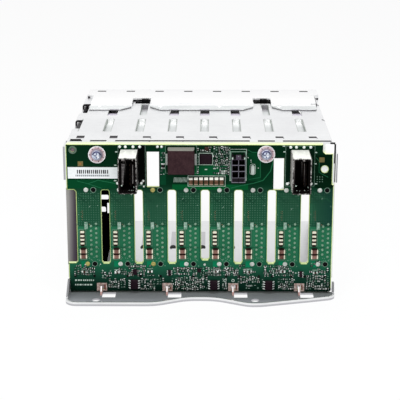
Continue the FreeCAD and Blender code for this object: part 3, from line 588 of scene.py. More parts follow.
def washer_zinc():
    """Washer with a bright outer band, a mauve field and a few dark ticks round it."""
    f = Finish("washer_zinc_finish")
    x, _, z = f.axes()
    away, across, up = from_screw(x, z)
    fine = f.noise(500.0, 2.0, 0.5)
    colour = f.ramp(fine, [(0.35, shade(196, 166, 172)), (0.65, shade(222, 200, 202))])
    turn = f.node("ShaderNodeMath", {"operation": "ARCTAN2"}, {0: up, 1: across})[0] / (2 * math.pi / 7)
    ticks = (turn % 1.0).within(0.42, 0.58) * away.within(3.35, 3.95)
    colour = f.mix(ticks, colour, shade(66, 46, 54))
    colour = f.mix(away.within(3.0, 3.22), colour, shade(120, 116, 130))
    band = f.ramp(fine, [(0.35, shade(206, 208, 210)), (0.65, shade(244, 244, 244))])
    colour = f.mix(away > 4.02, colour, band)
    return f.done({"Base Color": colour, "Metallic": 0.35, "Roughness": 0.34 + fine * 0.1,
                   "Specular IOR Level": 0.1, "Normal": f.bump(fine, 0.1, 0.02)})


def screw_zinc():
    """Blue-white pan head with a painted dark reflection in an arc across its upper half, painted shade in
    its recess and a painted glint.
    """
    f = Finish("screw_zinc_finish")
    x, y, z = f.axes()
    away, across, up = from_screw(x, z)
    fine = f.noise(700.0, 2.0, 0.6)
    colour = f.ramp(fine, [(0.35, shade(172, 184, 210)), (0.65, shade(226, 232, 244))])
    # A painted dark reflection in an arc over the head's upper half, and a fainter one below.
    arc = away.within(1.55, 2.35) * (up > 0.25)
    low_arc = away.within(1.7, 2.2) * (up < -0.9) * 0.5
    colour = f.mix(arc.highest(low_arc), colour, shade(66, 68, 98))
    colour = f.mix(away > 2.45, colour, shade(150, 152, 166))
    # Painted shade in the recess.
    colour = f.mix((y > BOARD_LOW.y - 1.75) * (away < 1.6), colour, shade(132, 136, 162))
    # A painted highlight.
    glint = ((across - 0.5) * (across - 0.5) + (up + 0.4) * (up + 0.4)) < 0.5
    colour = f.mix(glint, colour, shade(246, 248, 252))
    return f.done({"Base Color": colour, "Metallic": 0.55, "Roughness": 0.24 + fine * 0.1,
                   "Specular IOR Level": 0.3, "Normal": f.bump(fine, 0.2, 0.03)})


def label_paper():
    """White paper with a row of plain bars and a row of dashes, none of them readable."""
    f = Finish("label_paper_finish")
    x, _, z = f.axes()
    fine = f.noise(900.0, 3.0, 0.6)
    colour = f.ramp(fine, [(0.3, shade(226, 232, 232)), (0.7, shade(238, 240, 241))])
    bars = ((x % 1.03) < 0.54).highest((x % 4.12) < 0.75) * x.within(-63.1, -46.4) * z.within(65.9, 67.9)
    dashes = ((x % 1.03) < 0.7) * x.within(-63.6, -46.2) * z.within(64.4, 65.3)
    colour = f.mix(bars, colour, shade(20, 20, 28))
    colour = f.mix(dashes * 0.85, colour, shade(84, 86, 96))
    return f.done({"Base Color": colour, "Roughness": 0.6 + fine * 0.05, "Specular IOR Level": 0.1,
                   "Normal": f.bump(fine, 0.1, 0.01)})


def hook_copper():
    """Tinned copper round each hook, redder on one side; the upper pad is olive with a copper centre."""
    f = Finish("hook_copper_finish")
    x, _, z = f.axes()
    fine = f.noise(800.0, 2.0, 0.6)
    along = x.nearest(HOOKS[0], HOOK_PITCH)
    colour = f.ramp(fine, [(0.35, shade(150, 124, 116)), (0.65, shade(204, 186, 178))])
    colour = f.mix(along.within(0.9, 2.2) * z.within(2.8, 5.6), colour, shade(118, 70, 60))
    olive = f.ramp(fine, [(0.35, shade(100, 92, 56)), (0.65, shade(122, 110, 70))])
    colour = f.mix(z > 60.0, colour, olive)
    centre = (x + 61.0).size().highest((z - 71.1).size()) < 0.5
    colour = f.mix(centre, colour, shade(148, 104, 58))
    return f.done({"Base Color": colour, "Metallic": 0.2, "Roughness": 0.4 + fine * 0.1,
                   "Specular IOR Level": 0.1, "Normal": f.bump(fine, 0.1, 0.02)})


def board_mask():
    """Green solder mask over copper, with pale glass edges."""
    f = Finish("board_mask")
    x, _, z = f.axes()
    ny = f.facing()[1]
    along = x.nearest(MIDDLES[0], PITCH)

    def area(x0, x1, z0, z1):
        return x.within(x0, x1) * z.within(z0, z1)

    def strip(u0, u1, z0, z1):
        return along.within(u0, u1) * z.within(z0, z1)

    broad = f.noise(45.0, 3.0, 0.6)
    fine = f.noise(700.0, 2.0, 0.6)
    colour = f.ramp(z / BOARD_HIGH.z, [
        (0.03, shade(6, 28, 20)), (0.09, shade(14, 48, 36)), (0.14, shade(24, 72, 54)),
        (0.20, shade(30, 92, 66)), (0.44, shade(32, 94, 66)), (0.47, shade(30, 78, 56)),
        (0.66, shade(28, 72, 50)), (0.70, shade(20, 62, 42)), (0.74, shade(4, 46, 26)),
        (1.0, shade(3, 36, 18))])
    # Copper pours show lighter through the mask; painted shadows darken the board beside the connectors.
    pours_and_shadows = [
        (strip(-6.0, 5.3, 18.2, 26.0), shade(38, 106, 74)),
        (strip(-6.0, 5.3, 26.5, 37.4), shade(40, 108, 76)),
        (strip(-6.4, -4.4, 40.0, 50.0), shade(34, 86, 60)),
        (strip(-4.6, -2.1, 15.4, 18.6), shade(14, 124, 84)),
        (area(BOARD_LOW.x, -43.0, 58.0, 62.6), shade(4, 66, 36)),
        (area(-14.0, 25.0, 57.4, 60.2), shade(4, 88, 44)),
        (area(-3.0, 14.4, 64.9, 70.6), shade(8, 82, 46)),
        (area(24.6, 31.4, 62.0, 77.0), shade(6, 62, 34)),
        (area(-20.2, -17.2, 60.0, 80.0), shade(8, 66, 40)),
        (area(-42.0, -40.4, 59.6, 81.0), shade(2, 20, 11)),
        (area(44.0, 46.6, 59.6, 81.0), shade(4, 26, 15)),
        (area(56.4, 59.2, 59.4, 80.8), shade(2, 26, 13)),
        (area(59.2, BOARD_HIGH.x, 58.4, 76.0), shade(1, 27, 11)),
    ]
    for where, area_tone in pours_and_shadows:
        colour = f.mix(where, colour, area_tone)
    # Rows of tiny covered vias in the upper part of each column.
    dot_x = (along + PITCH) % 1.27 - 0.635
    dot_z = z % 1.27 - 0.635
    dots = (dot_x * dot_x + dot_z * dot_z < 0.09) * strip(-6.0, 5.6, 38.5, 55.5)
    colour = f.mix(dots * (0.3 + (broad > 0.5) * 0.2), colour, shade(96, 140, 118))
    # The mask darkens towards the right end and in broad patches, and a painted shadow of the left connector
    # darkens the strip beside it.
    colour = f.mix((x - 57.0) / 14.0 * z.within(38.0, 57.6) * (x > 57.0), colour, shade(14, 52, 46))
    colour = f.mix((broad - 0.35) * 0.6, colour, shade(6, 44, 28))
    colour = f.mix(area(-31.8, -27.2, 60.4, 81.4), colour, shade(1, 4, 3))
    edge = ny.size() < 0.5
    glass = f.ramp(broad, [(0.3, shade(224, 238, 168)), (0.7, shade(240, 248, 206))])
    colour = f.mix(edge, colour, glass)
    return f.done({"Base Color": colour, "Roughness": 0.30 + fine * 0.12 + edge * 0.3,
                   "Specular IOR Level": 0.02,
                   "Normal": f.bump(fine * 0.3 + dots, 0.10, 0.03)})


def spring_strip():
    """Lilac-grey at the root of each spring, darkening to black towards its tip, a painted shade under the
    frame.
    """
    f = Finish("spring_strip_finish")
    y = f.axes()[1]
    fine = f.noise(500.0, 2.0, 0.5)
    along = (y - 64.0) / 30.0 + (fine - 0.5) * 0.08
    # The fade to black is a painted shade under the front frame.
    colour = f.ramp(along, [
        (0.0, shade(204, 199, 209)), (0.4, shade(184, 178, 190)), (0.62, shade(146, 138, 152)),
        (0.76, shade(74, 66, 76)), (0.82, shade(14, 11, 14)), (1.0, shade(9, 7, 9))])
    return f.done({"Base Color": colour, "Metallic": 0.1, "Roughness": 0.45 + fine * 0.1,
                   "Specular IOR Level": 0.1, "Normal": f.bump(fine, 0.1, 0.02)})


def mottled_tin():
    """Tinned ends of the smallest parts, some bright and some dull."""
    f = Finish("mottled_tin_finish")
    fine = f.noise(620.0, 2.0, 0.7)
    colour = f.ramp(fine, [
        (0.4, shade(112, 124, 116)), (0.5, shade(172, 180, 174)), (0.6, shade(234, 238, 234))])
    return f.done({"Base Color": colour, "Roughness": 0.32 + fine * 0.1, "Specular IOR Level": 0.3,
                   "Normal": f.bump(fine, 0.2, 0.03)})


def lamp_block():
    """Pale printed block with darker worn patches."""
    f = Finish("lamp_block_finish")
    fine = f.noise(760.0, 3.0, 0.7)
    colour = f.ramp(fine, [
        (0.36, shade(92, 132, 110)), (0.5, shade(138, 166, 150)), (0.64, shade(172, 192, 180))])
    return f.done({"Base Color": colour, "Roughness": 0.4 + fine * 0.1, "Specular IOR Level": 0.05,
                   "Normal": f.bump(fine, 0.15, 0.03)})


def filter_ceramic():
    """Upright capacitors: solder at the top painted bright as a painted highlight, brown body, dull solder at
    the foot.
    """
    f = Finish("filter_ceramic_finish")
    z = f.axes()[2]
    fine = f.noise(500.0, 2.0, 0.6)
    colour = f.ramp(fine, [(0.35, shade(74, 54, 40)), (0.65, shade(112, 84, 66))])
    # The top solder's brightness is a painted highlight.
    colour = f.mix(z > 63.1, colour, shade(238, 236, 226))
    colour = f.mix(z < 60.95, colour, shade(150, 134, 118))
    return f.done({"Base Color": colour, "Roughness": 0.36 + fine * 0.1, "Specular IOR Level": 0.05,
                   "Normal": f.bump(fine, 0.15, 0.03)})


def build_finishes():
    """Every finish by name."""
    return {
        "sheet": sheet_steel(),
        "board": board_mask(),
        "rivet": bright_metal("rivet_steel_finish", shade(176, 178, 182), shade(206, 208, 210), 0.34),
        "clinch": bright_metal("clinch_steel_finish", shade(222, 224, 226), shade(240, 240, 242), 0.34),
        "filler": moulding("filler_plastic_finish", shade(5, 3, 5), shade(11, 8, 11), 0.85, gloss=0.0),
        "filter": filter_ceramic(),
        # Power pins painted near black, a painted shade in the connector's cells.
        "dark_pin": moulding("dark_pin_finish", shade(20, 18, 22), shade(46, 42, 50), 0.4),
        "socket": socket_plastic(),
        "receptacle": moulding("receptacle_plastic_finish", shade(10, 9, 10), shade(18, 16, 17), 0.42),
        "power": power_plastic(),
        "gilt": bright_metal("gilt_contact_finish", shade(214, 172, 96), shade(236, 200, 130), 0.24),
        # Gilt contacts painted dark brown, a painted shade deep in the data sockets.
        "dark_contact": bright_metal("data_contact_finish", shade(60, 44, 30), shade(92, 70, 48), 0.4),
        "joint": moulding("joint_solder_finish", shade(86, 122, 98), shade(148, 178, 156), 0.32, 500.0, 0.3),
        "solder": bright_metal("solder_finish", shade(190, 200, 194), shade(226, 232, 228), 0.26),
        "white_solder": moulding(
            "bright_solder_finish", shade(212, 220, 214), shade(240, 244, 240), 0.3, 500.0, 0.4),
        "part_end": mottled_tin(),
        "gold": moulding("gold_peg_finish", shade(150, 142, 74), shade(196, 186, 112), 0.34, 500.0, 0.3),
        "silver": moulding("silver_peg_finish", shade(166, 170, 164), shade(216, 220, 214), 0.3, 500.0, 0.4),
        "cream": moulding("cream_end_finish", shade(206, 204, 178), shade(236, 232, 214), 0.4),
        "ceramic": moulding("brown_ceramic_finish", shade(92, 60, 52), shade(150, 116, 104), 0.34, 300.0),
        # Painted shadows between the column capacitors.
        "brown_black": moulding("capacitor_shadow_finish", shade(24, 12, 10), shade(44, 26, 20), 0.5),
        "dark_ceramic": moulding("dark_ceramic_finish", shade(44, 26, 22), shade(72, 48, 40), 0.34, 400.0),
        "shell": shell_plating(),
        "inductor": inductor_powder(),
        "terminal": moulding("terminal_finish", shade(146, 150, 146), shade(190, 192, 188), 0.36),
        "copper": hook_copper(),
        "chip": moulding("chip_epoxy_finish", shade(24, 13, 20), shade(38, 24, 32), 0.42),
        "washer": washer_zinc(),
        "screw": screw_zinc(),
        "label": label_paper(),
        "can": moulding("crystal_can_finish", shade(170, 186, 176), shade(226, 232, 226), 0.3, 300.0, 0.3),
        "lamp": lamp_block(),
        "ink": moulding("legend_ink_finish", shade(168, 190, 176), shade(204, 218, 208), 0.55),
        "faint_ink": moulding("worn_ink_finish", shade(96, 132, 112), shade(132, 160, 144), 0.55),
        "ring_pad": moulding("ring_pad_finish", shade(70, 92, 76), shade(104, 122, 108), 0.4),
        "trace": moulding("covered_trace_finish", shade(22, 92, 58), shade(36, 110, 74), 0.35),
        "dim_trace": moulding("dim_trace_finish", shade(26, 74, 50), shade(40, 94, 66), 0.35),
        # A painted highlight for the rungs in the left data connector.
        "rung": moulding("rung_highlight_finish", shade(84, 80, 80), shade(150, 146, 144), 0.4),
        # A pale finish for the disc in the round hole, painted light.
        "pale": moulding("round_hole_light_finish", shade(250, 250, 250), shade(255, 255, 255), 0.5),
        "deep_trace": moulding("deep_trace_finish", shade(14, 54, 38), shade(22, 66, 46), 0.4),
        "glass": moulding("board_rim_finish", shade(158, 182, 106), shade(200, 216, 148), 0.45),
        "lime": moulding("board_edge_finish", shade(182, 206, 130), shade(212, 228, 168), 0.45),
        "black": moulding("black_marks_finish", shade(6, 6, 7), shade(14, 13, 14), 0.45),
        # Painted shadows and small dark marks on the sheet.
        "shadow": moulding("sheet_shadow_and_mark_finish", shade(40, 36, 40), shade(70, 66, 70), 0.5),
        "spring": spring_strip(),
        "mauve": moulding("mauve_plating_finish", shade(104, 88, 98), shade(128, 112, 122), 0.4),
        "copper_dot": moulding("copper_mark_finish", shade(104, 88, 70), shade(128, 108, 84), 0.4),
        # Painted shade under the small parts.
        "clutter": moulding("shaded_mask_finish", shade(12, 34, 28), shade(30, 56, 46), 0.5),
    }


FINISHES = build_finishes()

NODE_FINISHES = {
    "cage_cover": "sheet", "cover_guides": "sheet", "cage_floor": "sheet", "floor_guides": "sheet",
    "front_frame": "sheet", "side_rivets": "rivet", "frame_clinches": "clinch", "bay_filler": "filler",
    "backplane_board": "board", "receptacle_contacts": "gilt", "data_contacts": "dark_contact",
    "data_ground_joints": "white_solder", "column_capacitors": "ceramic", "column_capacitor_ends": "cream",
    "filter_capacitors": "filter", "filter_capacitor_ends": "filter", "power_pins": "dark_pin",
    "chip_leads": "white_solder", "data_shell_left": "shell", "data_shell_right": "shell",
    "data_housing_left": "socket", "data_housing_right": "socket", "power_housing": "power",
    "power_inductor": "inductor", "inductor_terminals": "terminal", "grounding_pads": "copper",
    "controller_chip": "chip", "logic_chips": "chip", "screw_washers": "washer", "board_screws": "screw",
    "bar_label": "label", "crystal": "can", "status_lamp_blocks": "lamp", "pin_tails": "solder",
    "solder_pegs": "solder",
}


def dress_nodes():
    """Give every carried-over node its finish; the nodes without an entry are the drives' sockets."""
    for name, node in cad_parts.items():
        finish = NODE_FINISHES.get(name, "receptacle")
        node.data.materials.clear()
        node.data.materials.append(FINISHES[finish])


# ---------------------------------------------------------------- mesh helpers

def circle(across, up, radius, sides):
    """Points round a circle."""
    turns = [2 * math.pi * index / sides for index in range(sides)]
    return [(across + radius * math.cos(turn), up + radius * math.sin(turn)) for turn in turns]


def rounded_corners(x0, x1, z0, z1, radius, steps=5):
    """Points round a rectangle with rounded corners."""
    points = []
    for cx, cz, start in ((x1 - radius, z1 - radius, 0), (x0 + radius, z1 - radius, 90),
                          (x0 + radius, z0 + radius, 180), (x1 - radius, z0 + radius, 270)):
        for index in range(steps + 1):
            angle = math.radians(start + 90 * index / steps)
            points.append((cx + radius * math.cos(angle), cz + radius * math.sin(angle)))
    return points


def upright(points, y):
    """(x, z) points stood up at one place along Y."""
    return [(x, y, z) for x, z in points]


class Form:
    """A mesh put together from simple closed solids, in millimetres."""

    def __init__(self):
        self.mesh = bmesh.new()

    def loft(self, rings):
        """A closed solid through rings of points that all have the same count."""
        made = [[self.mesh.verts.new(point) for point in ring] for ring in rings]
        for ring, following in zip(made, made[1:]):
            self.wall(ring, following)
        self.mesh.faces.new(made[0][::-1])
        self.mesh.faces.new(made[-1])

    def band(self, loops):
        """A closed band through loops of points, the last joined to the first."""
        made = [[self.mesh.verts.new(point) for point in loop] for loop in loops]
        for loop, following in zip(made, made[1:] + made[:1]):
            self.wall(loop, following)

    def wall(self, first, second):
        """Faces between two closed loops of vertices."""
        count = len(first)
        for index in range(count):
            other = (index + 1) % count
            self.mesh.faces.new((first[index], first[other], second[other], second[index]))

    def block(self, x0, x1, y0, y1, z0, z1):
        """A plain box."""
        corners = [(x0, z0), (x1, z0), (x1, z1), (x0, z1)]
        self.loft([upright(corners, y) for y in (y0, y1)])

    def slab(self, outline, z0, z1):
        """A flat plate with an (x, y) outline between two heights."""
        self.loft([[(x, y, z) for x, y in outline] for z in (z0, z1)])

    def plate(self, x0, x1, z0, z1, height, ease=0.0):
        """A slab standing on the board's rear face, its outer edge eased."""
        rings = [[(x0, FACE, z0), (x1, FACE, z0), (x1, FACE, z1), (x0, FACE, z1)]]
        if ease:
            low = FACE - height + ease
            rings.append([(x0, low, z0), (x1, low, z0), (x1, low, z1), (x0, low, z1)])
        far = FACE - height
        rings.append([(x0 + ease, far, z0 + ease), (x1 - ease, far, z0 + ease),
                      (x1 - ease, far, z1 - ease), (x0 + ease, far, z1 - ease)])
        self.loft(rings)

    def turned(self, x, z, profile, sides):
        """(radius, y) points turned about a line along Y."""
        self.loft([upright(circle(x, z, radius, sides), y) for radius, y in profile])

    def bead(self, x0, x1, z0, z1, height, radius, ease):
        """A low pad with rounded corners and an eased top."""
        base = rounded_corners(x0, x1, z0, z1, radius, 3)
        inner = rounded_corners(x0 + ease, x1 - ease, z0 + ease, z1 - ease, radius - ease, 3)
        self.loft([upright(base, FACE), upright(base, FACE - height + ease), upright(inner, FACE - height)])

    def turned_up(self, x, y, radius, z0, z1, sides=8):
        """A small round bar along Z."""
        self.slab(circle(x, y, radius, sides), z0, z1)

    def dot(self, x, z, radius, height=0.04, sides=12):
        """A low round spot on the board's rear face."""
        self.turned(x, z, [(radius, FACE), (radius * 0.9, FACE - height)], sides)

    def ring(self, x, z, inner, outer, height, sides=32):
        """A flat ring on the board's rear face."""
        self.border(circle(x, z, inner, sides), circle(x, z, outer, sides), height)

    def border(self, inner, outer, height):
        """A flat border between two (x, z) outlines on the board's rear face."""
        self.band([upright(inner, FACE), upright(outer, FACE),
                   upright(outer, FACE - height), upright(inner, FACE - height)])

    def line(self, x0, z0, x1, z1, width, height):
        """A straight raised strip on the board's rear face."""
        run = Vector((x1 - x0, 0, z1 - z0))
        across = Vector((-run.z, 0, run.x)).normalized() * (width / 2)
        start = Vector((x0, FACE, z0))
        end = Vector((x1, FACE, z1))
        corners = [start - across, end - across, end + across, start + across]
        lift = Vector((0, -height, 0))
        self.loft([corners, [corner + lift for corner in corners]])

    def path(self, points, width, height):
        """Strips along a run of (x, z) points."""
        for (x0, z0), (x1, z1) in zip(points, points[1:]):
            self.line(x0, z0, x1, z1, width, height)

    def outline(self, x0, x1, z0, z1, width, height):
        """Four strips round a rectangle."""
        half = width / 2
        self.plate(x0 - half, x1 + half, z0 - half, z0 + half, height)
        self.plate(x0 - half, x1 + half, z1 - half, z1 + half, height)
        self.plate(x0 - half, x0 + half, z0 + half, z1 - half, height)
        self.plate(x1 - half, x1 + half, z0 + half, z1 - half, height)

    def finish(self, name, finish, slot, smooth=None, replaces=()):
        """Turn the mesh into a piece of the object that rides on the frame."""
        bmesh.ops.recalc_face_normals(self.mesh, faces=self.mesh.faces[:])
        bmesh.ops.scale(self.mesh, vec=(MM, MM, MM), verts=self.mesh.verts[:])
        data = bpy.data.meshes.new(name)
        self.mesh.to_mesh(data)
        self.mesh.free()
        data.materials.append(FINISHES[finish])
        piece = bpy.data.objects.new(name, data)
        bpy.context.scene.collection.objects.link(piece)
        if smooth is not None:
            data.shade_smooth()
            data.set_sharp_from_angle(angle=math.radians(smooth))
        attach(piece, "root")
        if replaces:
            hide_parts(*replaces)
        return piece


# ---------------------------------------------------------------- pieces on the board

def rim_round(form, x0, x1, z0, z1, radius, width, height):
    """A thin border round one opening of the board."""
    inner = rounded_corners(x0, x1, z0, z1, radius)
    outer = rounded_corners(x0 - width, x1 + width, z0 - width, z1 + width, radius + width)
    form.border(inner, outer, height)


def board_rims():
    """Pale bare borders round the air slots and along the board's outline."""
    form = Form()
    ends = Form()
    for gap in range(BAYS - 1):
        x = MIDDLES[gap] + PITCH / 2
        # The middle slot starts higher.
        low = 19.5 if gap == 3 else SLOT_LOW
        rim_round(form, x - SLOT_HALF, x + SLOT_HALF, low, SLOT_HIGH, 1.1, 0.24, RIM)
        ends.plate(x - SLOT_HALF + 0.5, x + SLOT_HALF - 0.5, low - 0.55, low - 0.02, 0.03, 0.01)
    left = BOARD_LOW.x
    right = BOARD_HIGH.x
    width = 0.34
    half = width / 2
    top = BOARD_HIGH.z - half
    ends.path([(left + 0.8, top), (62.6, top)], width, RIM)
    form.path([(left + half, BOARD_HIGH.z - 0.8), (left + half, SLOT_HIGH + 0.4)], width, RIM)
    form.path([(left + 0.3, SLOT_HIGH + 0.25), (-64.6, SLOT_HIGH + 0.25), (-63.55, SLOT_HIGH - 0.9),
               (-63.55, SLOT_LOW + 0.9), (-64.6, SLOT_LOW - 0.15), (left + 0.3, SLOT_LOW - 0.15)], 0.3, RIM)
    form.path([(left + half, SLOT_LOW - 0.6), (left + half, 9.0)], width, RIM)
    ends.path([(right - half, 59.4), (right - half, 12.0)], width, RIM)
    form.path([(right - half, 11.9), (right - half, 4.0)], width, RIM)
    ends.path([(right - 0.8 - half, 76.2), (right - 0.8 - half, 60.2)], width, RIM)
    form.finish("board_rims", "glass", "solder_mask")
    ends.finish("board_edge_lights", "lime", "solder_mask")


def pin_joints():
    """Low solder joints with the pin's tip, fifteen to a bay."""
    form = Form()
    profile = [(0.66, FACE), (0.60, FACE - 0.10), (0.42, FACE - 0.30), (0.30, FACE - 0.50),
               (0.26, FACE - 0.72), (0.14, FACE - 0.80)]
    for middle in MIDDLES:
        for offset, start, count in PIN_COLUMNS:
            for index in range(count):
                form.turned(middle + offset, start + index * PIN_PITCH, profile, 12)
    form.finish("pin_joints", "joint", "solder", 40, ["pin_tails"])


# The bays whose upper or lower peg joint is gilt.
GOLD_UPPER = (2,)
GOLD_LOWER = (0, 2)


def peg_joints():
    """Domed joints of the soldered pegs, a few of them gilt."""
    silver = Form()
    gold = Form()
    profile = [(1.22, FACE), (1.18, FACE - 0.10), (1.0, FACE - 0.26), (0.84, FACE - 0.34),
               (0.76, FACE - 0.46), (0.60, FACE - 0.50), (0.3, FACE - 0.36)]
    for bay, middle in enumerate(MIDDLES):
        for z, gilt in ((PEG_LOW, GOLD_LOWER), (PEG_HIGH, GOLD_UPPER)):
            form = gold if bay in gilt else silver
            form.turned(middle + SOLDERED_PEG, z, profile, 20)
    silver.finish("silver_peg_joints", "silver", "solder", 40, ["solder_pegs"])
    gold.finish("gold_peg_joints", "gold", "solder", 40, ["solder_pegs"])


def peg_rings():
    """Bare rings round the holes of the plastic pegs, and their black ends."""
    rings = Form()
    pegs = Form()
    for middle in MIDDLES:
        for z in (PEG_LOW, PEG_HIGH):
            x = middle + PLASTIC_PEG
            rings.ring(x, z, 1.28, 1.5, INK)
            pegs.turned(x, z, [(1.18, FACE + 0.3), (1.18, FACE - 0.02), (1.0, FACE - 0.06)], 20)
            pegs.turned(x + 0.1, z + 0.1, [(0.5, FACE - 0.02), (0.36, FACE - 0.12)], 12)
    rings.finish("peg_rings", "faint_ink", "solder_mask")
    pegs.finish("peg_ends", "black", "connector_plastic", 40)


def capacitor_dress():
    """Metal ends and printed borders of the column capacitors, and painted shadows between them."""
    ends = Form()
    shadows = Form()
    faint = Form()
    for middle in MIDDLES:
        for z in SMALL_CAPS:
            ends.bead(middle - 4.66, middle - 2.54, z - 0.56, z + 0.62, 1.1, 0.4, 0.12)
            shadows.plate(middle - 4.5, middle - 2.7, z - 1.46, z - 0.5, 1.2, 0.1)
        for z in LARGE_CAPS:
            shadows.plate(middle - 4.6, middle - 1.9, z + 0.9, z + 1.72, 1.46, 0.1)
        faint.outline(middle - 5.35, middle - 1.85, 27.0, 35.9, 0.18, INK)
        for x in (middle - 5.75, middle - 0.7):
            for index in range(6):
                faint.dot(x, 20.0 + index * 1.05, 0.2, INK, 8)
        faint.line(middle - 5.0, 19.4, middle - 1.4, 19.4, 0.2, INK)
    ends.finish("small_capacitor_ends", "cream", "tin_plate")
    shadows.finish("capacitor_shadows", "brown_black", "capacitor_ceramic")
    faint.finish("capacitor_borders", "faint_ink", "solder_mask")


def column_marks():
    """Small marks of every column: copper dots, a lamp pad, printed specks and traces."""
    coppers = Form()
    specks = Form()
    traces = Form()
    deeper = Form()
    source = random.Random(31)
    for middle in MIDDLES:
        for index in range(5):
            coppers.dot(middle - 3.3 + source.uniform(-0.12, 0.12), 41.2 + index * 1.15, 0.22, 0.04, 8)
            if index % 2:
                coppers.dot(middle - 3.95, 41.7 + index * 1.15, 0.18, 0.04, 8)
        coppers.dot(middle + 0.2, 38.6, 0.3, 0.05, 10)
        for x, z in ((-6.1, 38.9), (-5.6, 44.1), (-6.0, 37.6), (5.0, 15.9), (4.7, 48.9)):
            specks.dot(middle + x + source.uniform(-0.3, 0.3), z + source.uniform(-0.3, 0.3), 0.24, INK, 8)
        for index in range(9):
            specks.dot(middle + source.uniform(-1.6, 5.2), source.uniform(18.6, 20.6), 0.22, INK, 6)
        for index in range(5):
            specks.dot(middle + source.uniform(0.2, 4.6), 26.0 + source.uniform(-0.5, 0.4), 0.16, INK, 6)
        for run, width in (([(-6.2, 26.2), (-1.2, 26.3), (0.4, 25.9), (5.6, 26.0)], 0.3),
                           ([(-5.6, 56.4), (-4.4, 54.0), (2.0, 53.0), (4.8, 50.6)], 0.26),
                           ([(-6.1, 51.0), (-3.4, 48.2), (-3.4, 46.0)], 0.22)):
            traces.path([(middle + x, z) for x, z in run], width, TRACE)
        for run, width, height in (([(-5.8, 54.6), (-2.2, 51.4), (1.6, 54.9), (5.0, 50.9)], 0.4, 0.015),
                                   ([(5.2, 55.6), (2.4, 55.0), (-1.0, 50.2), (-4.4, 52.4)], 0.3, 0.012)):
            deeper.path([(middle + x, z) for x, z in run], width, height)
    for x, z in ((-56.8, 48.3), (-21.8, 48.7), (-8.6, 52.6), (63.2, 52.8), (47.6, 47.2), (12.2, 48.0)):
        specks.line(x - 0.35, z - 0.4, x + 0.35, z + 0.4, 0.28, INK)
    traces.path([(58.2, 56.5), (60.4, 55.6), (63.0, 53.6), (63.4, 50.8)], 0.34, TRACE)
    deeper.finish("column_shade_traces", "deep_trace", "solder_mask")
    coppers.finish("copper_marks", "copper_dot", "copper")
    specks.finish("column_specks", "faint_ink", "solder_mask")
    traces.finish("column_traces", "dim_trace", "solder_mask")


# Fields of small parts: x0, x1, z0, z1, the pitch across and up, the share filled and the share of parts.
PART_FIELDS = [
    (-65.9, -54.6, 10.5, 15.2, 1.45, 1.2, 0.80, 0.55),
    (-51.6, -46.0, 11.3, 13.8, 1.3, 1.1, 0.85, 0.55),
    (-44.5, -38.2, 10.9, 14.6, 1.4, 1.15, 0.70, 0.45),
    (-37.6, -28.3, 10.3, 16.4, 1.35, 1.15, 0.92, 0.55),
    (-47.9, -38.6, 3.6, 9.0, 1.4, 1.2, 0.85, 0.60),
    (-30.9, -23.1, 2.6, 9.0, 1.35, 1.2, 0.85, 0.55),
    (-22.6, -18.3, 5.4, 9.1, 1.4, 1.2, 0.80, 0.20),
    (-13.6, -1.0, 10.9, 15.4, 1.3, 1.15, 0.90, 0.60),
    (0.0, 11.3, 10.3, 15.4, 1.3, 1.15, 0.92, 0.55),
    (-12.8, 2.6, 2.8, 9.9, 1.35, 1.15, 0.90, 0.60),
    (11.6, 14.6, 2.8, 9.4, 1.3, 1.2, 0.85, 0.40),
    (12.2, 20.3, 10.6, 15.4, 1.35, 1.15, 0.90, 0.65),
    (22.8, 29.6, 10.8, 14.6, 1.4, 1.15, 0.55, 0.55),
    (19.6, 31.6, 6.6, 10.4, 1.35, 1.2, 0.85, 0.55),
    (23.8, 31.4, 3.0, 5.8, 1.3, 1.15, 0.70, 0.15),
    (33.6, 48.2, 10.4, 16.4, 1.35, 1.15, 0.92, 0.45),
    (41.0, 49.3, 2.8, 9.3, 1.35, 1.15, 0.88, 0.50),
    (55.8, 68.0, 2.9, 11.2, 1.4, 1.2, 0.90, 0.60),
    (57.6, 67.6, 12.2, 15.2, 1.4, 1.15, 0.65, 0.55),
    (6.8, 15.9, 70.0, 80.4, 1.3, 1.15, 0.93, 0.60),
    (7.0, 15.6, 65.6, 69.6, 1.35, 1.15, 0.82, 0.50),
    (0.4, 6.0, 77.6, 80.6, 1.4, 1.1, 0.50, 0.60),
    (-20.0, -17.6, 72.6, 77.6, 1.1, 1.1, 0.75, 0.15),
    (-20.2, -17.6, 64.8, 68.0, 1.1, 1.1, 0.85, 0.10),
    (-1.4, 0.0, 66.0, 79.6, 1.1, 1.3, 0.70, 0.25),
    (56.6, 64.6, 15.6, 19.0, 1.2, 1.1, 0.55, 0.05),
    (-64.4, -55.0, 15.3, 16.6, 1.3, 1.1, 0.60, 0.30),
    (-51.4, -45.8, 8.6, 11.0, 1.3, 1.1, 0.55, 0.35),
    (-37.4, -28.6, 16.4, 17.6, 1.3, 1.1, 0.70, 0.10),
    (-28.0, -19.0, 9.6, 11.6, 1.3, 1.1, 0.60, 0.35),
    (-28.0, -24.0, 14.0, 16.4, 1.3, 1.1, 0.60, 0.30),
    (-16.6, -13.4, 2.8, 9.6, 1.3, 1.15, 0.75, 0.45),
    (2.8, 6.6, 3.0, 9.8, 1.3, 1.15, 0.60, 0.45),
    (31.8, 34.0, 2.8, 9.0, 1.2, 1.15, 0.75, 0.45),
    (48.4, 55.0, 9.6, 13.0, 1.3, 1.15, 0.70, 0.45),
    (20.4, 24.0, 14.4, 16.8, 1.3, 1.1, 0.60, 0.20),
]
END_HALF = 0.17


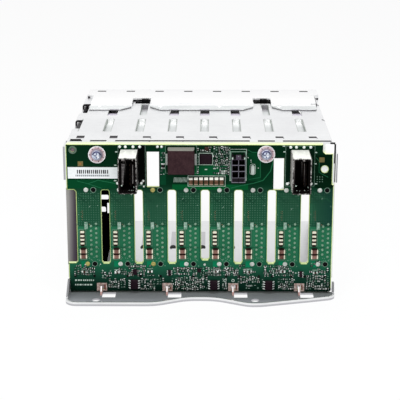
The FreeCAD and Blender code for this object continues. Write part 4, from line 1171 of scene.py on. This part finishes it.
def passive(source, dark, brown, ends, x, z):
    """One small part, upright or level, with a metal end at both sides."""
    stands = source.random() < 0.45
    half_long = source.uniform(0.50, 0.62)
    half_short = source.uniform(0.26, 0.34)
    half_x, half_z = (half_short, half_long) if stands else (half_long, half_short)
    body = brown if source.random() < 0.35 else dark
    body.plate(x - half_x, x + half_x, z - half_z, z + half_z, 0.42, 0.05)
    for side in (-1, 1):
        if stands:
            end = z + side * (half_z - END_HALF / 2)
            ends.plate(x - half_x - 0.05, x + half_x + 0.05, end - END_HALF, end + END_HALF, 0.46, 0.05)
        else:
            end = x + side * (half_x - END_HALF / 2)
            ends.plate(end - END_HALF, end + END_HALF, z - half_z - 0.05, z + half_z + 0.05, 0.46, 0.05)


def worn_mark(source, marks, faint, x, z):
    """One printed dash, ring or dot."""
    choice = source.random()
    form = marks if source.random() < 0.4 else faint
    if choice < 0.35:
        form.line(x - 0.42, z, x + 0.42, z, 0.2, INK)
    elif choice < 0.6:
        form.line(x, z - 0.42, x, z + 0.42, 0.2, INK)
    elif choice < 0.8:
        form.ring(x, z, 0.16, 0.38, INK, 10)
    else:
        form.dot(x, z, 0.28, INK, 8)


def small_parts():
    """The small passives, pads and worn marks in the strip below the bays and round the controller."""
    source = random.Random(7)
    dark = Form()
    brown = Form()
    ends = Form()
    marks = Form()
    faint = Form()
    part_shades = Form()
    for x0, x1, z0, z1, across, up, fill, share in PART_FIELDS:
        columns = max(1, int((x1 - x0) / across))
        rows = max(1, int((z1 - z0) / up))
        for column in range(columns):
            for row in range(rows):
                if source.random() > fill:
                    continue
                x = x0 + (column + 0.5) * (x1 - x0) / columns + source.uniform(-0.16, 0.16)
                z = z0 + (row + 0.5) * (z1 - z0) / rows + source.uniform(-0.14, 0.14)
                # A dark plate under about half of the places, a painted shade among the parts.
                if source.random() < 0.55:
                    part_shades.plate(x - 0.74, x + 0.74, z - 0.6, z + 0.6, 0.02)
                if source.random() < share:
                    passive(source, dark, brown, ends, x, z)
                else:
                    worn_mark(source, marks, faint, x, z)
    # Pairs of larger pale ends with a dark red part between them.
    for x, z in ((-60.4, 12.6), (-43.1, 12.3), (-25.9, 12.8), (8.6, 12.8), (26.0, 12.8),
                 (43.6, 13.0), (60.7, 12.3)):
        for side in (-1, 1):
            ends.plate(x + side * 0.95 - 0.42, x + side * 0.95 + 0.42, z - 0.6, z + 0.7, 0.5, 0.1)
        brown.plate(x - 0.5, x + 0.5, z - 0.55, z + 0.55, 0.44, 0.06)
        marks.line(x - 1.5, z + 1.5, x + 1.5, z + 1.5, 0.2, INK)
    # Single larger parts.
    dark.plate(-34.9, -32.7, 11.2, 14.0, 0.9, 0.1)
    dark.plate(-1.2, 0.9, 12.6, 14.6, 0.9, 0.1)
    brown.plate(2.7, 4.6, 78.4, 80.1, 0.7, 0.1)
    ends.plate(11.2, 13.2, 65.9, 67.7, 0.8, 0.1)
    for z in (68.9, 71.1):
        ends.plate(-19.6, -17.8, z - 0.35, z + 0.35, 0.5, 0.08)
    dark.plate(-19.4, -18.0, 69.3, 70.7, 0.48, 0.06)
    part_shades.finish("shaded_mask", "clutter", "solder_mask")
    dark.finish("dark_passives", "chip", "chip_body")
    brown.finish("brown_passives", "dark_ceramic", "capacitor_ceramic")
    ends.finish("passive_ends", "part_end", "tin_plate")
    marks.finish("printed_specks", "ink", "solder_mask")
    faint.finish("worn_specks", "faint_ink", "solder_mask")


def lower_marks():
    """Generic dashes, black plugged vias and round test points of the lower strip."""
    dashes = Form()
    vias = Form()
    points = Form()
    source = random.Random(19)
    for z in (7.9, 5.4):
        x = -65.4
        while x < -56.0:
            width = source.uniform(0.4, 1.3)
            dashes.line(x, z, x + width, z, 0.75, INK)
            x += width + source.uniform(0.3, 0.6)
    for x in (-65.1, -55.1, -47.9, -37.6, -30.9, -20.4, -3.3, 3.4, 13.9, 20.8, 31.1, 38.0, 48.2, 55.1, 65.6):
        vias.dot(x, 10.3, 0.62, 0.5, 14)
    for x in (13.4, 17.6):
        dashes.ring(x, 7.9, 0.5, 0.8, INK, 16)
    for x, z, radius in ((2.7, 16.7, 0.62), (-51.8, 16.8, 0.3), (49.6, 8.4, 0.36),
                         (-36.2, 3.2, 0.26), (50.2, 4.2, 0.26)):
        points.dot(x, z, radius, 0.06, 16)
    dashes.finish("plain_dashes", "ink", "solder_mask")
    vias.finish("plugged_vias", "black", "solder_mask")
    points.finish("test_points", "silver", "solder")


def legend():
    """Printed outlines of the components, short dashes beside them and a few dots."""
    form = Form()
    faint = Form()
    for onto, x0, x1, z0, z1, width in (
            (faint, -41.6, -27.7, 59.6, 81.1, INK_WIDTH), (faint, 44.0, 58.9, 59.5, 80.6, INK_WIDTH),
            (form, 15.6, 24.0, 62.3, 78.9, 0.2), (faint, 16.0, 23.6, 62.9, 77.6, 0.5),
            (form, -5.9, 13.2, 59.3, 64.8, 0.24), (faint, -17.4, -1.4, 66.2, 80.9, INK_WIDTH),
            (form, -0.2, 6.7, 70.7, 76.8, 0.3)):
        onto.outline(x0, x1, z0, z1, width, INK)
    rim_round(form, 26.0, 28.5, 65.6, 71.0, 1.0, 0.24, INK)
    for x, z in ((-42.5, 77.4), (-43.1, 70.4), (-43.3, 62.2), (59.4, 77.3), (59.3, 71.3), (59.8, 60.7),
                 (3.3, 68.2), (7.7, 68.7), (43.0, 80.6), (43.4, 77.6)):
        form.line(x - 0.6, z, x + 0.6, z, 0.55, INK)
    for x, z in ((24.9, 74.5), (30.1, 69.0), (26.3, 73.1), (26.4, 72.2)):
        form.dot(x, z, 0.3, INK, 10)
    for index in range(12):
        x = -13.2 + index * 0.66
        form.line(x, 61.4, x + 0.3, 64.0, 0.22, INK)
    for index in range(3):
        for step in range(3):
            faint.dot(60.4 + index * 1.3, 61.8 + step * 1.3, 0.26, INK, 8)
    form.finish("printed_outlines", "ink", "solder_mask")
    faint.finish("worn_outlines", "faint_ink", "solder_mask")


def top_dress():
    """Traces, pads, spots and rings of the upper strip."""
    traces = Form()
    for run, width in (
            ([(16.0, 58.3), (21.0, 59.6), (28.1, 61.0), (32.7, 62.5), (36.4, 67.4), (37.7, 72.6),
              (37.9, 76.0)], 0.42),
            ([(-57.3, 60.5), (-52.1, 62.4), (-42.4, 60.5)], 0.34),
            ([(-63.0, 62.0), (-57.8, 60.6), (-50.4, 58.1)], 0.28),
            ([(24.8, 78.6), (26.6, 77.4), (31.0, 77.2), (31.2, 64.0), (25.4, 63.0)], 0.3),
            ([(59.6, 74.6), (61.2, 72.6), (61.2, 66.8), (66.0, 64.2)], 0.26)):
        traces.path(run, width, TRACE)
    traces.finish("upper_traces", "trace", "solder_mask")
    ring = Form()
    ring.ring(*RING_HOLE, 1.2, 2.1, 0.04)
    ring.finish("ring_hole_pad", "ring_pad", "solder_mask")
    plug = Form()
    plug.turned(*RING_HOLE, [(1.06, BOARD_HIGH.y - 0.2), (1.06, FACE + 0.5), (0.9, FACE + 0.4)], 20)
    plug.finish("ring_hole_plug", "mauve", "copper", 40)
    hole = Form()
    hole.ring(*ROUND_HOLE, 1.82, 2.05, INK)
    hole.finish("round_hole_pad", "lime", "solder_mask")
    # A pale disc in the round hole, painted light where the bulkhead shows through.
    hole_light_disc = Form()
    hole_light_disc.turned(*ROUND_HOLE, [(1.76, BOARD_HIGH.y - 0.1), (1.76, FACE + 0.3)], 28)
    hole_light_disc.finish("round_hole_light", "pale", "galvanised_steel")
    blobs = Form()
    for x, z, radius in ((-21.4, 80.1, 0.72), (-19.3, 80.1, 0.72), (-40.0, 61.3, 0.5), (-33.7, 60.2, 0.4),
                         (-28.6, 59.1, 0.5), (45.8, 61.1, 0.5), (42.4, 58.4, 0.6), (-28.9, 62.1, 0.6)):
        blobs.turned(x, z, [(radius, FACE), (radius * 0.9, FACE - 0.16), (radius * 0.5, FACE - 0.36)], 14)
    blobs.finish("solder_blobs", "white_solder", "solder", 40)


def socket_dress():
    """Rungs of painted highlight on the inner wall of the left data connector, and specks at both mouths."""
    rungs = Form()
    specks = Form()
    near = SHELL_MOUTH + 0.9
    left = LEFT_SHELL
    for index in range(15):
        z = SHELL_MIDDLE + 5.6 - index * 0.74
        length = 1.5 - index * 0.07
        rungs.block(left - 2.7, left - 2.7 + length, near, near + 0.3, z, z + 0.34)
    rungs.block(left - 2.78, left - 2.5, near + 0.05, near + 0.3, SHELL_MIDDLE - 4.6, SHELL_MIDDLE + 6.2)
    rungs.block(left + 2.6, left + 2.85, near, near + 0.3, SHELL_MIDDLE - 4.0, SHELL_MIDDLE + 5.6)
    source = random.Random(5)
    for middle in (LEFT_SHELL, RIGHT_SHELL):
        for across, up in ((-3.2, -5.4), (3.0, -6.1)):
            x = middle + across
            z = SHELL_MIDDLE + up
            specks.block(x, x + 0.6, near - 0.1, near + 0.2, z, z + 0.55)
        for index in range(16):
            x = middle + source.uniform(-3.6, 3.3)
            z = SHELL_MIDDLE - source.uniform(7.4, 10.0)
            specks.block(x, x + 0.26, near - 0.1, near + 0.2, z, z + 0.22)
    rungs.finish("socket_rungs", "rung", "connector_plastic")
    specks.finish("socket_specks", "ink", "connector_plastic")


def power_dress():
    """Housing of the power connector with its six cells, latch and cheeks, and the pins inside."""
    x0, x1 = POWER_LOW.x, POWER_HIGH.x
    low = POWER_LOW.z
    top = POWER_HIGH.z - 1.5
    near = POWER_LOW.y
    floor = -1.6
    middle = (x0 + x1) / 2
    wall = 0.45
    body = Form()
    body.block(x0, x1, floor, FACE, low, top)
    for a, b in ((x0, x0 + wall), (middle - 0.14, middle + 0.14), (x1 - wall, x1)):
        body.block(a, b, near, floor, low, top)
    shelves = [(low, CELL_ROWS[0])]
    shelves += [(row - 0.2, row + 0.2) for row in CELL_ROWS[1:]]
    shelves += [(top - 0.25, top)]
    for a, b in shelves:
        body.block(x0 + wall, x1 - wall, near, floor, a, b)
    profile = [(near, top), (-2.0, top), (-4.4, top + 1.5), (-6.0, top + 1.5)]
    body.loft([[(x, y, z) for y, z in profile] for x in (middle - 1.3, middle + 1.3)])
    for a in (x0, x1 - 0.9):
        body.block(a, a + 0.9, near, -1.0, top, top + 1.1)
    body.finish("power_shroud", "power", "connector_plastic", None, ["power_housing"])
    pins = Form()
    for x in (middle - 1.6, middle + 1.6):
        for row in CELL_ROWS:
            pins.turned(x, row + 1.6, [(0.5, floor), (0.5, near + 2.6), (0.25, near + 2.2)], 10)
    pins.finish("power_pin_posts", "dark_pin", "tin_plate", 40, ["power_pins"])
    # A white arrow on the latch and white tabs at its cheeks, a painted highlight.
    white = Form()
    arrow = [(middle - 1.0, top + 0.1), (middle + 1.0, top + 0.1), (middle, top + 1.3)]
    white.loft([upright(arrow, y) for y in (near + 2.1, near + 1.9)])
    for x in (x0 + 0.1, x1 - 0.75):
        white.block(x, x + 0.65, near - 0.02, near + 0.04, top + 0.05, top + 1.05)
    white.finish("latch_highlights", "ink", "connector_plastic")


def inductor_dress():
    """Bright solder fillets beside the inductor's terminals."""
    form = Form()
    for x0, x1 in ((-17.3, -16.3), (-2.5, -1.5)):
        form.plate(x0, x1, 70.6, 76.4, 0.7, 0.2)
    form.finish("inductor_fillets", "terminal", "copper")


def spring_fingers():
    """Long springs that start in the cover's windows and run down into the bays."""
    # Their colour darkens to black towards the tip, a painted shade filling most of each window.
    form = Form()
    half = 2.64
    thick = 0.4
    for gap, x in enumerate(GUIDES):
        if gap in NOTCHED_GAPS:
            continue
        rings = []
        for y, z in ((64.0, TOP - 0.1), (74.0, TOP - 1.4), (84.0, TOP - 2.7), (98.0, TOP - 4.3)):
            rings.append([(x - half, y, z - thick), (x + half, y, z - thick),
                          (x + half, y, z), (x - half, y, z)])
        form.loft(rings)
    form.finish("window_springs", "spring", "galvanised_steel")


def shelf_end():
    """The front frame's top carried on to the cover's bend at the right, with painted shade along its edge.
    """
    low = TOP + 0.02
    top = Form()
    top.slab([(62.6, 76.7), (64.9, 76.7), (65.7, 78.2), (66.1, 89.0), (62.6, 89.0)], low, TOP + SHEET - 0.02)
    top.slab([(62.6, 89.6), (66.1, 89.6), (66.6, 116.0), (62.6, 116.0)], low, TOP + 2 * SHEET - 0.06)
    top.finish("shelf_end", "sheet", "galvanised_steel")
    edge = Form()
    for (x0, y0), (x1, y1) in (((66.15, 88.0), (66.65, 116.0)), ((66.1, 116.0), (68.4, 118.6))):
        edge.slab([(x0, y0), (x0 + 0.5, y0), (x1 + 0.5, y1), (x1, y1)], low, TOP + SHEET)
    edge.block(-66.9, -66.1, 110.6, 114.0, low, TOP + SHEET)
    edge.finish("shelf_end_edge", "shadow", "galvanised_steel")


def bay_middle(bay):
    """Where a bay's middle lies across the cage, by its number from 0 at the left."""
    return (bay - (BAYS - 1) / 2) * PITCH


def sheet_marks():
    """Black blocks and plates of painted shade, small dark marks of the cover's top, and a painted shadow at
    the bulkhead's edge.
    """
    # Black blocks in the frame's notches and under its slots, painted shade.
    shade_blocks = Form()
    for gap in NOTCHED_GAPS:
        x = GUIDES[gap]
        shade_blocks.block(x - 5.8, x + 4.2, 97.2, 100.9, TOP - 1.2, TOP - 0.3)
        shade_blocks.block(x - 5.6, x - 3.4, 97.8, 100.6, TOP - 0.35, TOP + 0.5)
        shade_blocks.block(x - 2.4, x + 1.6, 99.0, 101.2, TOP - 0.35, TOP + 1.7)
        shade_blocks.block(x + 2.4, x + 3.9, 98.4, 100.8, TOP - 0.35, TOP + 0.4)
    for bay in range(BAYS):
        x = bay_middle(bay)
        shade_blocks.block(x - 1.5, x + 3.3, 121.0, 122.1, TOP + 1.3, TOP + 1.9)
    shade_blocks.finish("notch_and_slot_shades", "black", "filler_plastic")
    # Painted shade: dark blocks under the slots near the board, and in the seam between the cover and the
    # bulkhead.
    seams = Form()
    for bay in range(BAYS):
        x = bay_middle(bay) + BAY_SLOT
        half = 1.15 if bay < 2 else 0.6
        seams.block(x - 2.0, x + 2.0, BAY_SLOT_Y - half, BAY_SLOT_Y + half, TOP - 0.8, TOP - 0.15)
    for x0, x1 in ((-68.4, -60.4), (-55.9, -47.9), (-43.1, 25.5), (30.1, 38.4), (42.9, 67.4)):
        seams.block(x0, x1, 3.15, 5.5, TOP - 1.4, TOP - 0.5)
    seams.finish("seam_shadows", "shadow", "galvanised_steel")
    # The floor's holes: a black block of painted shade in each, and a larger black oval of painted shade
    # round each.
    hole_shade_blocks = Form()
    shades = Form()
    for x in GUIDES:
        hole_shade_blocks.block(x - 2.2, x - 0.4, 72.1, 76.1, 0.2, 0.6)
        oval = [(x - 1.3 + 1.8 * a, 75.8 + 4.4 * b) for a, b in circle(0, 0, 1, 14)]
        shades.slab(oval, SHEET - 0.02, SHEET + 0.06)
    hole_shade_blocks.finish("floor_hole_shade_blocks", "black", "galvanised_steel")
    shades.finish("floor_hole_shadows", "black", "galvanised_steel")
    ticks = Form()
    for x, y in ((-25.3, 9.5), (-8.4, 9.7), (8.9, 9.5), (26.1, 9.7), (43.3, 9.9), (60.6, 10.1)):
        ticks.slab([(x - 0.5, y + 1.3), (x + 0.1, y - 0.2), (x + 0.5, y + 0.1), (x + 0.1, y + 1.4)],
                   TOP - 0.05, TOP + 0.03)
    for x, y in ((-25.6, 2.8), (-8.5, 3.0), (8.6, 3.2), (59.5, 3.8)):
        ticks.turned_up(x, y, 0.5, TOP - 1.2, TOP + 0.03)
    ticks.finish("slot_marks", "shadow", "galvanised_steel")
    # Black strips along the bulkhead's right edge, a painted shadow.
    strip = Form()
    for x0, x1, z0, z1 in ((68.9, 69.76, 71.0, 81.2), (69.3, 69.78, 61.0, 71.0), (66.8, 69.3, 81.2, 82.1)):
        strip.block(x0, x1, 1.93, 2.0, z0, z1)
    strip.finish("bulkhead_edge_shadow", "black", "galvanised_steel")


# ---------------------------------------------------------------- stage

def soft_world():
    """White where the camera or a reflection sees it, and a softer light on the object."""
    world = bpy.data.worlds.new("soft_studio")
    bpy.context.scene.world = world
    world.use_nodes = True
    nodes = world.node_tree.nodes
    links = world.node_tree.links
    nodes.clear()
    output = nodes.new("ShaderNodeOutputWorld")
    seen = nodes.new("ShaderNodeBackground")
    seen.inputs["Color"].default_value = (1, 1, 1, 1)
    seen.inputs["Strength"].default_value = 1.0
    soft = nodes.new("ShaderNodeBackground")
    soft.inputs["Color"].default_value = (0.96, 0.98, 1.0, 1)
    soft.inputs["Strength"].default_value = 0.62
    rays = nodes.new("ShaderNodeLightPath")
    either = nodes.new("ShaderNodeMath")
    either.operation = "MAXIMUM"
    links.new(rays.outputs["Is Camera Ray"], either.inputs[0])
    links.new(rays.outputs["Is Glossy Ray"], either.inputs[1])
    mix = nodes.new("ShaderNodeMixShader")
    links.new(either.outputs[0], mix.inputs[0])
    links.new(soft.outputs[0], mix.inputs[1])
    links.new(seen.outputs[0], mix.inputs[2])
    links.new(mix.outputs[0], output.inputs[0])


def pale_floor():
    """A wide pale disc just under the cage, which keeps the object's shadow."""
    f = Finish("pale_floor")
    rays = f.node("ShaderNodeLightPath")
    seen = rays["Is Camera Ray"].highest(rays["Is Glossy Ray"])
    dull = f.node("ShaderNodeBsdfDiffuse", None, {"Color": (0.80, 0.80, 0.80, 1)})
    bright = f.node("ShaderNodeEmission", None, {"Color": (1, 1, 1, 1), "Strength": 1.0})
    blend = f.node("ShaderNodeMixShader", None, {0: seen * 0.9, 1: dull[0], 2: bright[0]})
    f.node("ShaderNodeOutputMaterial", None, {"Surface": blend[0]})
    mesh = bmesh.new()
    bmesh.ops.create_circle(mesh, cap_ends=True, segments=96, radius=6.0)
    data = bpy.data.meshes.new("studio_floor")
    mesh.to_mesh(data)
    mesh.free()
    data.materials.append(f.material)
    floor = bpy.data.objects.new("studio_floor", data)
    floor.location.z = CAD_BOX[0][2] - 0.0002
    bpy.context.scene.collection.objects.link(floor)


def lamps():
    """A wide lamp overhead and another at the front left; places in metres."""
    for name, place, aim, size, energy in (
            ("overhead", (0.05, -0.25, 1.1), (0, 0.03, 0.04), 0.9, 9.0),
            ("front_left", (-0.9, -1.1, 0.7), (0, 0, 0.04), 0.8, 6.0)):
        lamp = bpy.data.lights.new(name, "AREA")
        lamp.shape = "DISK"
        lamp.size = size
        lamp.energy = energy
        holder = bpy.data.objects.new(name, lamp)
        holder.location = place
        direction = Vector(aim) - Vector(place)
        holder.rotation_euler = direction.to_track_quat("-Z", "Y").to_euler()
        bpy.context.scene.collection.objects.link(holder)


def camera():
    """The camera, behind the board and a little above."""
    lens = bpy.data.cameras.new("camera")
    lens.lens = CAMERA_LENS
    lens.sensor_width = 36.0
    lens.clip_start = 0.01
    lens.clip_end = 50.0
    holder = bpy.data.objects.new("camera", lens)
    holder.location = CAMERA_PLACE
    holder.rotation_euler = (math.radians(CAMERA_TILT), 0.0, math.radians(CAMERA_TURN))
    bpy.context.scene.collection.objects.link(holder)
    bpy.context.scene.camera = holder


dress_nodes()
board_rims()
pin_joints()
peg_joints()
peg_rings()
capacitor_dress()
column_marks()
small_parts()
lower_marks()
legend()
top_dress()
socket_dress()
power_dress()
inductor_dress()
spring_fingers()
shelf_end()
sheet_marks()
soft_world()
pale_floor()
lamps()
camera()
bpy.context.scene.view_settings.view_transform = "Standard"
